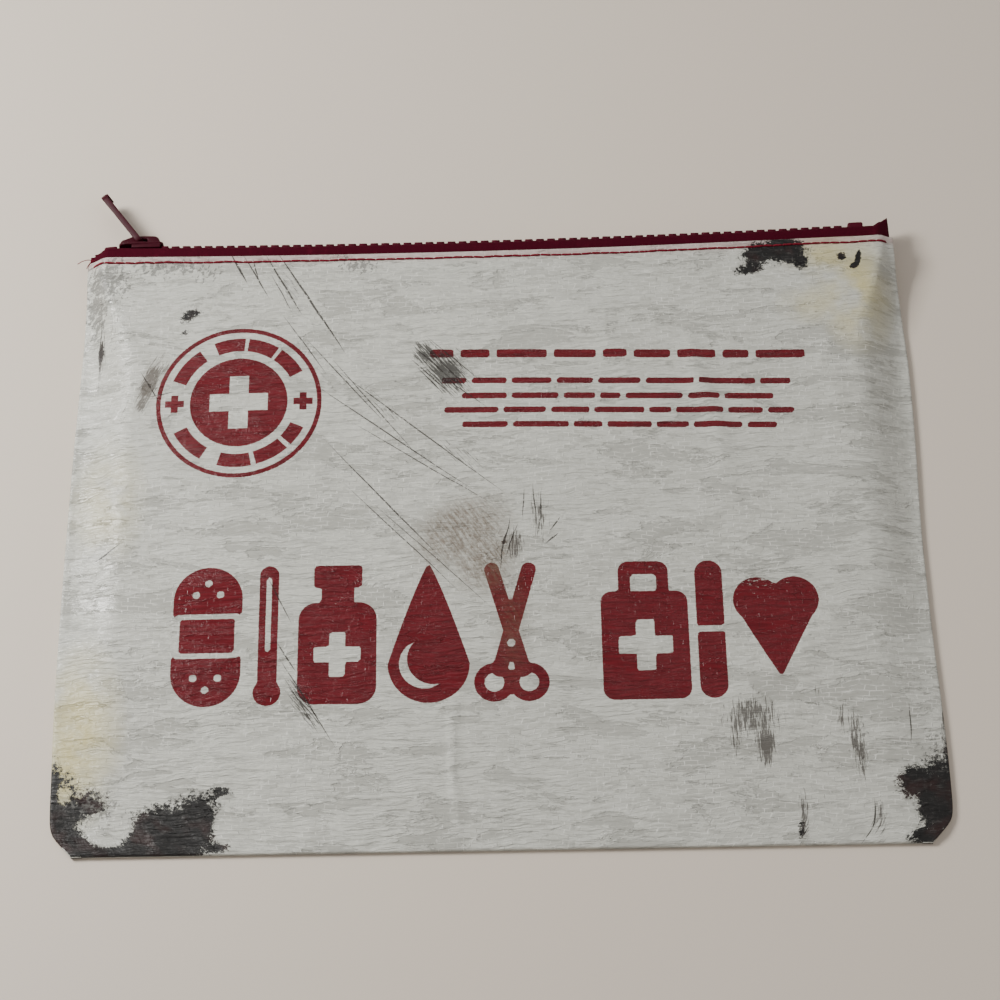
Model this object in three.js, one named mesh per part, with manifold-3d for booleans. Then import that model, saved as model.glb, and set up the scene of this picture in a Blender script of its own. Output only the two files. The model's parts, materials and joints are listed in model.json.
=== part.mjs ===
// A flat zip pouch for a first aid kit, sewn from laminated woven polypropylene and lying on its back panel.
// Millimetres, +Z up. X runs along the zip, Y from the bottom seam to the zip, Z through the pouch.
// The origin is the middle of the back panel's underside, on the surface that the pouch lies on.
// The pouch is zipped shut: the slider stands at the left end, against the two top stops.
import * as THREE from "three";
import { mergeVertices } from "three/addons/utils/BufferGeometryUtils.js";
import Module from "manifold-3d";

const wasm = await Module();
wasm.setup();
const { Manifold, Mesh: ManifoldMesh } = wasm;

// ---- Driving dimensions ----

const WIDTH = 241; // side seam to side seam
const HEIGHT = 184; // bottom seam to the folded edges beside the zip
const CLOTH = 0.35; // laminated cloth
const TURN_IN = 9; // cloth turned in along each edge, where it lies double
const CORNER_CUT = 6.3; // the bottom corners are sewn off at 45 degrees
const GAP = 0.15; // between layers that touch
const FLAP_GAP = 0.2; // between the zip tape and the cloth it is sewn to
const SEAM_GAP = 0.4; // between the turned-in cloth of the two panels, where the seam's thread lies
const HEM_LIFT = 0.3; // the back panel's folded edge stands this far off the surface
const SIDE_RUN = 16; // the front panel comes down to the side seams over this width

const CHAIN_RISE = 3.9; // middle of the zip beyond the folded edges
const TAPE = 0.5; // thickness of the zip tape
const TAPE_BEND = 0.95; // radius of its bend from the teeth to the cloth
const WALL = 3.9; // middle of each tape after the bend, from the zip's middle
const TAPE_FLAP = 8; // tape sewn down inside each folded edge
const END_THIN = 3.3; // at the zip's ends, either side comes in towards its middle by this
const END_RUN = 7.2; // over this length of each end
const LEFT_DIP = 1.4; // the left end of the tape curves back towards the cloth
const RIGHT_FLARE = 4.6; // the right end stands out beyond the teeth
const RIGHT_LIFT = 1.3; // and up
const ZIP_SLOPE = 0.012; // the pouch is out of square: its zip edge climbs this much for each millimetre of X
const CORNER_RUN = 32; // the stiff zip holds the back panel's corners off the surface over this length

const PITCH = 3.35; // tooth to tooth
const TOOTH_ROOT = 2.4; // length of a tooth along the zip, where it clasps the tape
const TOOTH_HEAD = 1.3; // and at its head
const TOOTH_HEIGHT = 2.8; // through the zip
const TOOTH_OUTER = 2.9; // from the zip's middle to the root's outer end
const TOOTH_INNER = 1.15; // to the root's inner end
const TOOTH_REACH = 1.0; // the head reaches this far past the middle
const CORD_WIDTH = 0.9; // thick edge of the tape that the teeth clasp
const CORD_HEIGHT = 1.5;
const FIRST_TOOTH = -106.2; // X of the front row's first tooth
const CHAIN_START = -113.7;
const CHAIN_END = 107.9; // left face of the bottom stop
const BOTTOM_STOP = 4.6; // its length
const TOP_STOP = 3.4;
const STOP_WIDTH = 1.4;
const STOP_HEIGHT = 2.5;
const BOTTOM_STOP_RISE = 1.0; // it stands this far above the teeth on the outside

const SLIDER_X = -106.8; // slider's middle, zipped shut
const SLIDER_LENGTH = 13.6;
const PLATE = 0.95; // thickness of the slider's two plates
const CHANNEL = 3.1; // between them
const OUTER_HALF_WIDTH = 3.9; // plate on the outside of the zip
const INNER_HALF_WIDTH = 3.45; // plate on the inside
const FLANGE_WALL = 3.0; // flanges' inner walls, from the zip's middle
const OUTER_SLOT = 0.4; // outer flanges stop this far from the tape's middle
const INNER_SLOT = 0.85; // inner flanges stop this far from it
const INNER_FLANGE = 0.95; // their height above the inner plate
const FLANGE_INSET = 0.55; // outer flanges stand this far in from the plate's edge
const NECK_HALF_WIDTH = 1.5;

const CROWN_HEIGHT = 3.3; // arch on the outer plate that holds the pull tab
const CROWN_WIDTH = 3.0;
const CROWN_FROM = -5.4; // its ends, from the slider's middle
const CROWN_TO = 6.0;
const PIVOT_X = -0.4; // pull tab's pin, from the slider's middle
const PIVOT_RISE = 1.9; // and above the outer plate
const PIN_RADIUS = 0.42;
const PULL_ANGLE = 126; // degrees from +X, as the tab stands
const PULL_LENGTH = 21.2; // pin to tip
const PULL_WIDTH = 6.0;
const PULL_THICK = 1.5;
const PULL_SLOT = 7.8; // opening that passes over the crown, from the pin
const PULL_SLOT_WIDTH = 3.5;

const THREAD = 0.2;
const TOPSTITCH_IN = 2.2; // topstitching, from the folded edge
const SEAM_IN = 2.6; // seams, from the edge
const THREAD_WIDTH = 0.5;

// ---- Derived dimensions ----

const HALF_W = WIDTH / 2;
const TOP = HEIGHT / 2;
const BOTTOM = -HEIGHT / 2;
const CHAIN_Y = TOP + CHAIN_RISE;
const HEM = WALL + TAPE / 2 + GAP + 2 * CLOTH; // outer face of the cloth beside the zip, from its middle
const CHAIN_Z = HEM_LIFT + HEM;
const TOP_Z = CHAIN_Z + HEM;
const CORNER_THICK = 2 * (HEM - END_THIN);
const SEAM_Z = 4 * CLOTH + SEAM_GAP;
const TEETH = Math.floor((CHAIN_END - TOOTH_ROOT / 2 - FIRST_TOOTH) / PITCH) + 1;
const PLATE_TOP = CHANNEL / 2 + PLATE;

// ---- Materials ----

const cloth = new THREE.MeshStandardMaterial({ color: 0xcfcfca, roughness: 0.42, metalness: 0 });
const tapeCloth = new THREE.MeshStandardMaterial({ color: 0x5a0f22, roughness: 0.85, metalness: 0 });
const plastic = new THREE.MeshStandardMaterial({ color: 0x5c0c1e, roughness: 0.4, metalness: 0 });
const painted = new THREE.MeshStandardMaterial({ color: 0x4c0a1a, roughness: 0.35, metalness: 0.2 });
const sewing = new THREE.MeshStandardMaterial({ color: 0x8e1c30, roughness: 0.7, metalness: 0 });

const pouch = new THREE.Group();

// Everything is modelled square, and leans as it is added: not at all at the bottom seam, fully from the
// folded edges up, and about the slider's place.
function lean(geometry) {
  const position = geometry.attributes.position;
  for (let n = 0; n < position.count; n++) {
    const share = THREE.MathUtils.smoothstep(position.getY(n), BOTTOM, TOP);
    position.setY(n, position.getY(n) + share * ZIP_SLOPE * (position.getX(n) - SLIDER_X));
  }
  geometry.computeVertexNormals();
  return geometry;
}

function addMesh(name, geometry, material) {
  const mesh = new THREE.Mesh(lean(geometry), material);
  mesh.name = name;
  pouch.add(mesh);
}

// ---- Helpers ----

const ease = (t) => THREE.MathUtils.smoothstep(t, 0, 1);

// A box with columns and rows of points, each put at place(column, row, upper).
function mappedBox(columns, rows, place) {
  const geometry = new THREE.BoxGeometry(1, 1, 1, columns, rows, 1);
  const position = geometry.attributes.position;
  for (let n = 0; n < position.count; n++) {
    const column = Math.round((position.getX(n) + 0.5) * columns);
    const row = Math.round((position.getY(n) + 0.5) * rows);
    const point = place(column, row, position.getZ(n) > 0);
    position.setXYZ(n, point[0], point[1], point[2]);
  }
  geometry.computeVertexNormals();
  return geometry;
}

// An outline in (x, y), extruded along Z between two heights.
function extrudeZ(points, from, to, holes = []) {
  const shape = new THREE.Shape(points.map(([x, y]) => new THREE.Vector2(x, y)));
  for (const hole of holes) {
    shape.holes.push(new THREE.Path(hole.map(([x, y]) => new THREE.Vector2(x, y))));
  }
  const geometry = new THREE.ExtrudeGeometry(shape, { depth: to - from, bevelEnabled: false });
  return geometry.translate(0, 0, from);
}

// An outline in (x, h), h being the height above the zip's middle, extruded along Y between two planes.
function extrudeY(points, from, to) {
  const geometry = extrudeZ(points.map(([x, h]) => [x, -h]).reverse(), from, to);
  return geometry.rotateX(-Math.PI / 2);
}

function box(x0, x1, y0, y1, z0, z1) {
  return new THREE.BoxGeometry(x1 - x0, y1 - y0, z1 - z0)
    .translate((x0 + x1) / 2, (y0 + y1) / 2, (z0 + z1) / 2);
}

function toSolid(geometry) {
  const bare = new THREE.BufferGeometry();
  bare.setAttribute("position", geometry.attributes.position);
  if (geometry.index) bare.setIndex(geometry.index);
  const merged = mergeVertices(bare, 1e-4);
  return new Manifold(new ManifoldMesh({
    numProp: 3,
    vertProperties: Float32Array.from(merged.attributes.position.array),
    triVerts: Uint32Array.from(merged.index.array),
  }));
}

function toGeometry(solid) {
  const mesh = solid.getMesh();
  const geometry = new THREE.BufferGeometry();
  geometry.setAttribute("position", new THREE.BufferAttribute(Float32Array.from(mesh.vertProperties), 3));
  geometry.setIndex(new THREE.BufferAttribute(Uint32Array.from(mesh.triVerts), 1));
  geometry.computeVertexNormals();
  return geometry;
}

const join = (geometries) => toGeometry(Manifold.union(geometries.map(toSolid)));

// ---- Shape of the pouch ----

// 0 along the pouch, 1 at its side edges, over a given width.
const towardsSide = (x, run) => ease((Math.abs(x) - (HALF_W - run)) / run);
const endThin = (x) => END_THIN * towardsSide(x, END_RUN);
const endLift = (x) => (x > 0 ? RIGHT_LIFT * towardsSide(x, END_RUN) : 0);
const chainZ = (x) => CHAIN_Z + endLift(x);

// Underside of the back panel: flat, just off the surface at the zip, and held up at the zip's ends.
function backZ(x, y) {
  const run = END_RUN + SIDE_RUN * ease((TOP - y) / CORNER_RUN);
  const corner = ease((y - (TOP - CORNER_RUN)) / CORNER_RUN) * towardsSide(x, run);
  const lift = END_THIN + (x > 0 ? RIGHT_LIFT : 0);
  return HEM_LIFT * ease((y - (TOP - TURN_IN)) / 4) + lift * corner;
}

// Top of the front panel.
function frontZ(x, y) {
  const along = (y - BOTTOM) / HEIGHT;
  const middle = SEAM_Z + (TOP_Z - SEAM_Z) * along;
  const thick = SEAM_Z + (CORNER_THICK - SEAM_Z) * ease((y - (TOP - 18)) / 18);
  const side = backZ(Math.sign(x) * HALF_W, y) + thick;
  const run = END_RUN + (SIDE_RUN - END_RUN) * ease((TOP - y) / 40);
  return middle + (side - middle) * towardsSide(x, run);
}

const halfWidth = (y) => HALF_W - Math.max(0, CORNER_CUT - (y - BOTTOM));

// The cloth lies double where it is turned in along the edges.
function thickness(fromSide, fromEnd) {
  return Math.min(fromSide, fromEnd) <= TURN_IN ? 2 * CLOTH : CLOTH;
}

// Columns and rows of points, as distances from the edge, the same for both panels and for the zip.
const SIDE_STEPS = [0, 2.5, 5, END_RUN, TURN_IN, TURN_IN + 0.6, 13, SIDE_RUN, 40];
const BOTTOM_STEPS = [0, CORNER_CUT, TURN_IN, TURN_IN + 0.6, 40];
const TOP_STEPS = [85, 40, 24, 14, TURN_IN + 0.6, TURN_IN, TAPE_FLAP, 6, 3, 0];
const COLUMNS = [
  ...SIDE_STEPS.map((d) => ({ side: -1, in: d })),
  { side: 1, in: HALF_W },
  ...SIDE_STEPS.map((d) => ({ side: 1, in: d })).reverse(),
];
const ROWS = [
  ...BOTTOM_STEPS.map((d) => ({ y: BOTTOM + d, in: d })),
  ...TOP_STEPS.map((d) => ({ y: TOP - d, in: d })),
];
const columnX = (column, y) => column.side * (HALF_W - column.in) * (halfWidth(y) / HALF_W);

function addPanels() {
  const place = (isFront) => (c, r, upper) => {
    const row = ROWS[r];
    const x = columnX(COLUMNS[c], row.y);
    const thick = thickness(COLUMNS[c].in, row.in);
    if (isFront) return [x, row.y, frontZ(x, row.y) - (upper ? 0 : thick)];
    return [x, row.y, backZ(x, row.y) + (upper ? thick : 0)];
  };
  const [columns, rows] = [COLUMNS.length - 1, ROWS.length - 1];
  addMesh("front_panel", mappedBox(columns, rows, place(true)), cloth);
  addMesh("back_panel", mappedBox(columns, rows, place(false)), cloth);
}

// ---- Zip tapes: one edge clasped by the teeth, a bend, and a flap inside the folded cloth ----

// Angles around the bend, from the teeth to the cloth, and steps down the flap from the folded edge.
const BEND_ANGLES = [0, 30, 60, 90];
const FLAP_STEPS = [0, 3, 6, TAPE_FLAP];

function tapeEndShift(x) {
  const t = Math.max(0, Math.abs(x) - (HALF_W - END_RUN)) / END_RUN;
  return x < 0 ? -LEFT_DIP * ease(t) : RIGHT_FLARE * t;
}

function tapePoint(x, row, outer) {
  if (row < BEND_ANGLES.length) {
    const angle = THREE.MathUtils.degToRad(BEND_ANGLES[row]);
    const radius = TAPE_BEND + (outer ? TAPE / 2 : -TAPE / 2);
    const h = WALL - TAPE_BEND - endThin(x) + radius * Math.sin(angle);
    return { y: CHAIN_Y - TAPE_BEND + radius * Math.cos(angle) + tapeEndShift(x), h: Math.max(h, GAP) };
  }
  return { y: TOP - FLAP_STEPS[row - BEND_ANGLES.length], flap: true };
}

function addZipTapes() {
  const columns = COLUMNS.filter((c) => c.in > 0);
  const rows = BEND_ANGLES.length + FLAP_STEPS.length;
  for (const side of [1, -1]) {
    const place = (c, r, upper) => {
      const x = columns[c].side * (HALF_W - columns[c].in);
      const outer = side > 0 ? upper : !upper;
      const at = tapePoint(x, rows - 1 - r, outer);
      if (!at.flap) return [x, at.y, chainZ(x) + side * at.h];
      const inset = 2 * CLOTH + FLAP_GAP + (outer ? 0 : TAPE);
      return [x, at.y, side > 0 ? frontZ(x, at.y) - inset : backZ(x, at.y) + inset];
    };
    const name = side > 0 ? "front_zip_tape" : "back_zip_tape";
    addMesh(name, mappedBox(columns.length - 1, rows - 1, place), tapeCloth);
  }
}

// ---- Teeth and stops ----

function toothOutline(x, side) {
  const [root, head] = [TOOTH_ROOT / 2, TOOTH_HEAD / 2];
  const points = [
    [-root, TOOTH_OUTER], [-root, TOOTH_INNER], [-head, TOOTH_INNER], [-head, -TOOTH_REACH],
    [head, -TOOTH_REACH], [head, TOOTH_INNER], [root, TOOTH_INNER], [root, TOOTH_OUTER],
  ].map(([dx, h]) => [x + dx, side * h]);
  return side > 0 ? points : points.reverse();
}

function addToothRows() {
  for (const side of [1, -1]) {
    const first = side > 0 ? FIRST_TOOTH : FIRST_TOOTH + PITCH / 2;
    const count = side > 0 ? TEETH : TEETH - 1;
    const parts = [];
    for (let n = 0; n < count; n++) {
      parts.push(extrudeY(toothOutline(first + n * PITCH, side), -TOOTH_HEIGHT / 2, TOOTH_HEIGHT / 2));
    }
    const cord = [TOOTH_OUTER - CORD_WIDTH, TOOTH_OUTER - 0.05].map((h) => side * h).sort((a, b) => a - b);
    parts.push(box(CHAIN_START, CHAIN_END - GAP, -CORD_HEIGHT / 2, CORD_HEIGHT / 2, cord[0], cord[1]));
    const geometry = join(parts).translate(0, CHAIN_Y, CHAIN_Z);
    addMesh(side > 0 ? "front_tooth_row" : "back_tooth_row", geometry, plastic);
  }
}

// The top stops follow the tape as it comes down; the bottom stop holds both rows together.
function addStops() {
  for (const side of [1, -1]) {
    const place = (c, r, upper) => {
      const x = CHAIN_START - GAP - TOP_STOP + (TOP_STOP * c) / 4;
      const outer = TOOTH_OUTER - 0.35 - endThin(x);
      const inner = Math.max(GAP, outer - STOP_WIDTH);
      const y = CHAIN_Y + tapeEndShift(x) + (r - 0.5) * STOP_HEIGHT;
      return [x, y, chainZ(x) + side * (upper === side > 0 ? outer : inner)];
    };
    addMesh(side > 0 ? "front_top_stop" : "back_top_stop", mappedBox(4, 1, place), plastic);
  }
  const half = TOOTH_OUTER;
  const top = TOOTH_HEIGHT / 2 + BOTTOM_STOP_RISE;
  const stop = box(CHAIN_END, CHAIN_END + BOTTOM_STOP, -TOOTH_HEIGHT / 2, top, -half, half);
  addMesh("bottom_stop", stop.translate(0, CHAIN_Y, CHAIN_Z), plastic);
}

// ---- Slider, its crown and the pull tab ----

// A plate, wide at the end that leads when closing and narrower behind.
function plateOutline(halfWidth) {
  const [l, w, n] = [SLIDER_LENGTH / 2, halfWidth, halfWidth - 0.5];
  return [
    [-l, w - 1.6], [-l + 0.5, w - 0.6], [-l + 1.6, w], [-0.5, w], [l - 0.8, n], [l, n - 0.8],
    [l, -n + 0.8], [l - 0.8, -n], [-0.5, -w], [-l + 1.6, -w], [-l + 0.5, -w + 0.6], [-l, -w + 1.6],
  ].reverse();
}

function neckOutline() {
  const l = -SLIDER_LENGTH / 2;
  const w = NECK_HALF_WIDTH;
  return [
    [l + 0.2, -0.9], [l + 1.4, -w], [l + 3.4, -0.2], [l + 3.4, 0.2], [l + 1.4, w], [l + 0.2, 0.9],
  ];
}

function addSlider() {
  const [inner, outer] = [CHANNEL / 2, PLATE_TOP];
  const parts = [
    extrudeY(plateOutline(OUTER_HALF_WIDTH), inner, outer),
    extrudeY(plateOutline(INNER_HALF_WIDTH), -outer, -inner),
    extrudeY(neckOutline(), -inner - 0.2, inner + 0.2),
  ];
  for (const side of [1, -1]) {
    const wall = (w) => [FLANGE_WALL, w].map((h) => side * h).sort((a, b) => a - b);
    const [o0, o1] = wall(OUTER_HALF_WIDTH - FLANGE_INSET);
    const [i0, i1] = wall(INNER_HALF_WIDTH);
    parts.push(box(-2.2, SLIDER_LENGTH / 2 - 1, OUTER_SLOT, inner + 0.2, o0, o1));
    parts.push(box(-4.6, 0.5, -INNER_SLOT - INNER_FLANGE, -INNER_SLOT, i0, i1));
  }
  addMesh("slider_body", join(parts).translate(SLIDER_X, CHAIN_Y, CHAIN_Z), painted);
}

function addCrown() {
  const [a, b, h] = [CROWN_FROM, CROWN_TO, CROWN_HEIGHT];
  const outline = [
    [a, 0], [b, 0], [b - 0.5, h - 1.3], [b - 1.1, h - 0.35], [b - 1.9, h],
    [a + 1.9, h], [a + 0.8, h - 0.6], [a + 0.1, h - 1.7],
  ];
  const slot = [[-2.3, 1.3], [-2.3, 2.5], [2.4, 2.5], [2.4, 1.3]];
  const geometry = extrudeZ(outline, -CROWN_WIDTH / 2, CROWN_WIDTH / 2, [slot]);
  addMesh("slider_crown", geometry.translate(SLIDER_X, CHAIN_Y + PLATE_TOP + 0.05, CHAIN_Z), painted);
}

// Drawn along +X from the pin, in (along, across), and then stood up at its angle.
function addPullTab() {
  const [w, s, t] = [PULL_WIDTH / 2, PULL_SLOT_WIDTH / 2, PULL_THICK / 2];
  const outline = [
    [0.9, -w], [PULL_LENGTH - 1.6, -w], [PULL_LENGTH - 0.4, -w + 1.2], [PULL_LENGTH, 0],
    [PULL_LENGTH - 0.4, w - 1.2], [PULL_LENGTH - 1.6, w], [0.9, w], [-0.6, w - 0.4],
    [-0.6, s], [PULL_SLOT, s], [PULL_SLOT, -s], [-0.6, -s], [-0.6, -w + 0.4],
  ];
  const plate = extrudeZ(outline, -t, t);
  const pin = new THREE.CylinderGeometry(PIN_RADIUS, PIN_RADIUS, 2 * s + 1.2, 16);
  const tab = join([plate, pin]);
  tab.rotateX(Math.PI / 2).rotateZ(THREE.MathUtils.degToRad(PULL_ANGLE));
  const pivotY = CHAIN_Y + PLATE_TOP + PIVOT_RISE;
  addMesh("pull_tab", tab.translate(SLIDER_X + PIVOT_X, pivotY, CHAIN_Z), painted);
}

// ---- Sewing threads ----

// A thread lying along X, centred on a line in Y, with its underside at a given height.
function threadAlongX(columns, y, underside) {
  const place = (c, r, upper) => {
    const x = columns[c].side * (HALF_W - columns[c].in);
    return [x, y + (r - 0.5) * THREAD_WIDTH, underside(x, y) + (upper ? THREAD : 0)];
  };
  return mappedBox(columns.length - 1, 1, place);
}

function addTopstitching() {
  const columns = COLUMNS.filter((c) => c.in > 0);
  const y = TOP - TOPSTITCH_IN;
  addMesh("front_topstitch", threadAlongX(columns, y, (x) => frontZ(x, y) + 0.05), sewing);
  addMesh("back_topstitch", threadAlongX(columns, y, (x) => backZ(x, y) - THREAD - 0.05), sewing);
}

// The seams' threads lie between the turned-in edges; the bottom one turns up along the two cut corners.
function addSeamThreads() {
  const z = 2 * CLOTH + (SEAM_GAP - THREAD) / 2;
  const from = BOTTOM + CORNER_CUT + 4;
  const rows = ROWS.map((row) => row.y).filter((y) => y > from && y < TOP - TAPE_FLAP - 2);
  for (const side of [-1, 1]) {
    const place = (c, r, upper) => {
      const [x, y] = [side * (HALF_W - SEAM_IN) + (c - 0.5) * THREAD_WIDTH, rows[r]];
      return [x, y, backZ(x, y) + z + (upper ? THREAD : 0)];
    };
    const seam = mappedBox(1, rows.length - 1, place);
    addMesh(side < 0 ? "left_seam_thread" : "right_seam_thread", seam, sewing);
  }
  const cut = CORNER_CUT;
  const line = (inset) => {
    const [w, b, k] = [HALF_W - inset, BOTTOM + inset, cut - 0.586 * inset];
    return [[-w, from - 1], [-w, b + k], [-w + k, b], [w - k, b], [w, b + k], [w, from - 1]];
  };
  const outer = line(SEAM_IN - THREAD_WIDTH / 2);
  const inner = line(SEAM_IN + THREAD_WIDTH / 2).reverse();
  addMesh("bottom_seam_thread", extrudeZ([...outer, ...inner], z, z + THREAD), sewing);
}

addPanels();
addZipTapes();
addToothRows();
addStops();
addSlider();
addCrown();
addPullTab();
addTopstitching();
addSeamThreads();

export default pouch;
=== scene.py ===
"""A flat zip pouch for a first aid kit: printed, laminated woven cloth with a moulded zip, lying on its back.

Lengths here are millimetres until a mesh is made. X runs along the zip, Y from the bottom seam to the zip,
and Z through the pouch.
"""
import json
import math

import bmesh
import bpy
import numpy as np
from mathutils import Matrix, Vector


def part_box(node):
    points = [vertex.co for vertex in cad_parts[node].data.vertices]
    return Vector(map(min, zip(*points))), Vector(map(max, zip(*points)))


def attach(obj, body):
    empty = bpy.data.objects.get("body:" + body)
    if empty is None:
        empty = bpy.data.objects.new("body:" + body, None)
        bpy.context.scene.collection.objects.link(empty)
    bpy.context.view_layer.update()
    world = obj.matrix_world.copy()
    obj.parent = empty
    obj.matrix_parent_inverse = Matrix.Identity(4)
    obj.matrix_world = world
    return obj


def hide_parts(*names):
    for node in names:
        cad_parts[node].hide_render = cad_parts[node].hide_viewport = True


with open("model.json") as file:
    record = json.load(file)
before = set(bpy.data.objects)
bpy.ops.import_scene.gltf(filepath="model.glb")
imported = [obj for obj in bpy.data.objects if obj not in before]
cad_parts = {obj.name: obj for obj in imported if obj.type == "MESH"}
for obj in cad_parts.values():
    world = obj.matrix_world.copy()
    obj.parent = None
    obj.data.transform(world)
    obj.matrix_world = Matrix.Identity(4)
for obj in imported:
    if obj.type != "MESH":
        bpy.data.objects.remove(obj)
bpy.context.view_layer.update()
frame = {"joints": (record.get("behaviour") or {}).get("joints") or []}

MM = 0.001


def cad_box(node):
    """Lowest and highest corner of a CAD node, in millimetres."""
    low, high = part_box(node)
    return np.array(low) / MM, np.array(high) / MM


# ---- Sizes, from the frame ----

BOTTOM = cad_box("back_panel")[0][1]
TOP = -BOTTOM
HALF_W = cad_box("back_panel")[1][0]
HEIGHT = TOP - BOTTOM
TOP_Z = cad_box("front_panel")[1][2]
CHAIN_START = cad_box("front_tooth_row")[0][0]
CHAIN_Z = sum(cad_box("bottom_stop"))[2] / 2
SLIDER_X, CHAIN_Y, _ = sum(cad_box("slider_body")) / 2
SLIDER_HALF = cad_box("slider_body")[1][0] - SLIDER_X
PLATE_TOP = 2.5
PLATE_THICK = 0.95
STOP_RISE = 1.0  # the bottom stop stands this far above the teeth

CLOTH = 0.35
ROLL = 0.5  # radius of the turned edges, outside
TURN_IN = 9.0
SHOWN_TURN_IN = 2.2  # how much of the turned-in cloth is modelled
CORNER_CUT = 6.3
CORNER_ROUND = 2.2
SEAM_Z = 1.8
HEM_LIFT = 0.3
HEM = TOP_Z - CHAIN_Z
END_THIN = 3.3
END_RUN = 4.6
SIDE_RUN = 16.0
RIGHT_LIFT = 1.3
LEFT_DIP = 1.4
RIGHT_FLARE = 4.6
CORNER_RUN = 32.0
ZIP_SLOPE = 0.012  # the pouch is out of square: its zip edge climbs to the right
ZIP_SAG = 1.5  # and its middle sags between the two ends of the slider's travel
TRAVEL_MIDDLE = -3.0
TRAVEL_HALF = 104.0
TOPSTITCH_IN = 2.2

TAPE = 0.5
TAPE_BEND = 0.95
WALL = 3.9
TAPE_FLAP = 8.0
PITCH = 3.35
TOOTH_ROOM = 7.5  # from the start of the clasped edge to the first tooth's middle

LAYER_GAP = 0.12
STITCH = 2.9


# ---- Numbers ----


def ease(t):
    t = np.clip(t, 0, 1)
    return t * t * (3 - 2 * t)


def lattice_noise(x, y, seed):
    """Smooth noise from -1 to 1 with features about one unit across."""
    table = np.random.default_rng(seed).uniform(-1, 1, (64, 64))
    xi, yi = np.floor(x).astype(int), np.floor(y).astype(int)
    fx, fy = ease(x - xi), ease(y - yi)

    def at(i, j):
        return table[(xi + i) % 64, (yi + j) % 64]

    low = at(0, 0) * (1 - fx) + at(1, 0) * fx
    high = at(0, 1) * (1 - fx) + at(1, 1) * fx
    return low * (1 - fy) + high * fy


def fractal(x, y, size, seed, octaves=3):
    """Noise of several sizes, each half the last."""
    total = 0
    for n in range(octaves):
        scale = 2**n / size
        total = total + lattice_noise(x * scale + 17.3 * n, y * scale + 5.1 * n, seed + n) / 2**n
    return total


# ---- Shape of the pouch ----


def towards_side(x, run):
    return ease((np.abs(x) - (HALF_W - run)) / run)


def back_z(x, y):
    """Underside of the back panel: flat, and held up by the stiff zip at its two corners."""
    run = END_RUN + SIDE_RUN * ease((TOP - y) / CORNER_RUN)
    corner = ease((y - (TOP - CORNER_RUN)) / CORNER_RUN) * towards_side(x, run)
    lift = END_THIN + np.where(x > 0, RIGHT_LIFT, 0)
    return HEM_LIFT * ease((y - (TOP - TURN_IN)) / 4) + lift * corner


def front_z(x, y):
    """Top of the front panel, without its creases."""
    along = (y - BOTTOM) / HEIGHT
    middle = SEAM_Z + (TOP_Z - SEAM_Z) * along
    thick = SEAM_Z + (2 * (HEM - END_THIN) - SEAM_Z) * ease((y - (TOP - 18)) / 18)
    side = back_z(np.sign(x) * HALF_W, y) + thick
    run = END_RUN + (SIDE_RUN - END_RUN) * ease((TOP - y) / 40)
    return middle + (side - middle) * towards_side(x, run)


def half_width(y):
    """Half the pouch's width at a height, with the two cut and rounded bottom corners."""
    cut = CORNER_CUT - (y - BOTTOM)
    soft = CORNER_ROUND
    inset = 0.5 * (cut + np.sqrt(cut * cut + soft * soft))
    return HALF_W - inset + 0.5 * (math.hypot(CORNER_CUT - HEIGHT, soft) + CORNER_CUT - HEIGHT)


# How far each side edge stands out from straight: (height, amount).
LEFT_BULGE = [(-92, 0.7), (-69, 1.3), (-46, 2.3), (-10, 2.8), (30, 2.9), (60, 2.5), (92, 2.0)]
RIGHT_BULGE = [(-92, 0.6), (-60, 0.8), (-30, 0.3), (0, 0.5), (25, 1.7), (45, 2.3), (62, 2.4), (80, 1.2),
               (92, 0.5)]


def bulge(x, y):
    """Outward shift of the side edges, smoothed from the lists above."""
    total = 0
    for step in (-7, 0, 7):
        left = np.interp(y + step, *zip(*LEFT_BULGE))
        right = np.interp(y + step, *zip(*RIGHT_BULGE))
        total = total + np.where(x < 0, -left, right) / 3
    start = 80 + 33 * ease((y - TOP + 6) / 6)
    return total * (np.maximum(0, np.abs(x) - start) / (HALF_W - start)) ** 2


def settle(points):
    """Moves points of the square pattern to where the sewn, slightly skewed pouch has them."""
    points = np.array(points, float)
    x, y = points[..., 0], points[..., 1]
    share = ease((y - BOTTOM) / HEIGHT)
    sag = -ZIP_SAG * (1 - ((x - TRAVEL_MIDDLE) / TRAVEL_HALF) ** 2)
    points[..., 1] = y + share * (ZIP_SLOPE * (x - SLIDER_X) + sag)
    points[..., 0] = x + bulge(x, y)
    return points


# Long soft folds of the front: two ends, how high, how wide.
FOLDS = [
    ((-12, -50), (-13, -92), 0.55, 0.9),
    ((-108, 24), (-62, 4), 0.7, 4.0),
    ((-62, 4), (-20, -8), 0.5, 3.0),
    ((-100, -58), (-58, -74), 0.6, 3.0),
    ((10, -14), (66, 8), 0.75, 3.4),
    ((66, 8), (58, 62), 0.6, 3.0),
    ((18, 78), (40, 46), 0.5, 3.6),
    ((58, -56), (104, -20), 0.7, 4.5),
    ((-40, -60), (-70, -22), 0.45, 4.0),
    ((96, 66), (106, 20), 0.4, 3.6),
    ((20, -66), (44, -88), 0.55, 1.6),
]


def segment_distance(x, y, a, b):
    """Distance to a segment, and how far along it the nearest point is, from 0 to 1."""
    ax, ay = a
    dx, dy = b[0] - ax, b[1] - ay
    t = np.clip(((x - ax) * dx + (y - ay) * dy) / (dx * dx + dy * dy), 0, 1)
    return np.hypot(x - ax - t * dx, y - ay - t * dy), t


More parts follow.
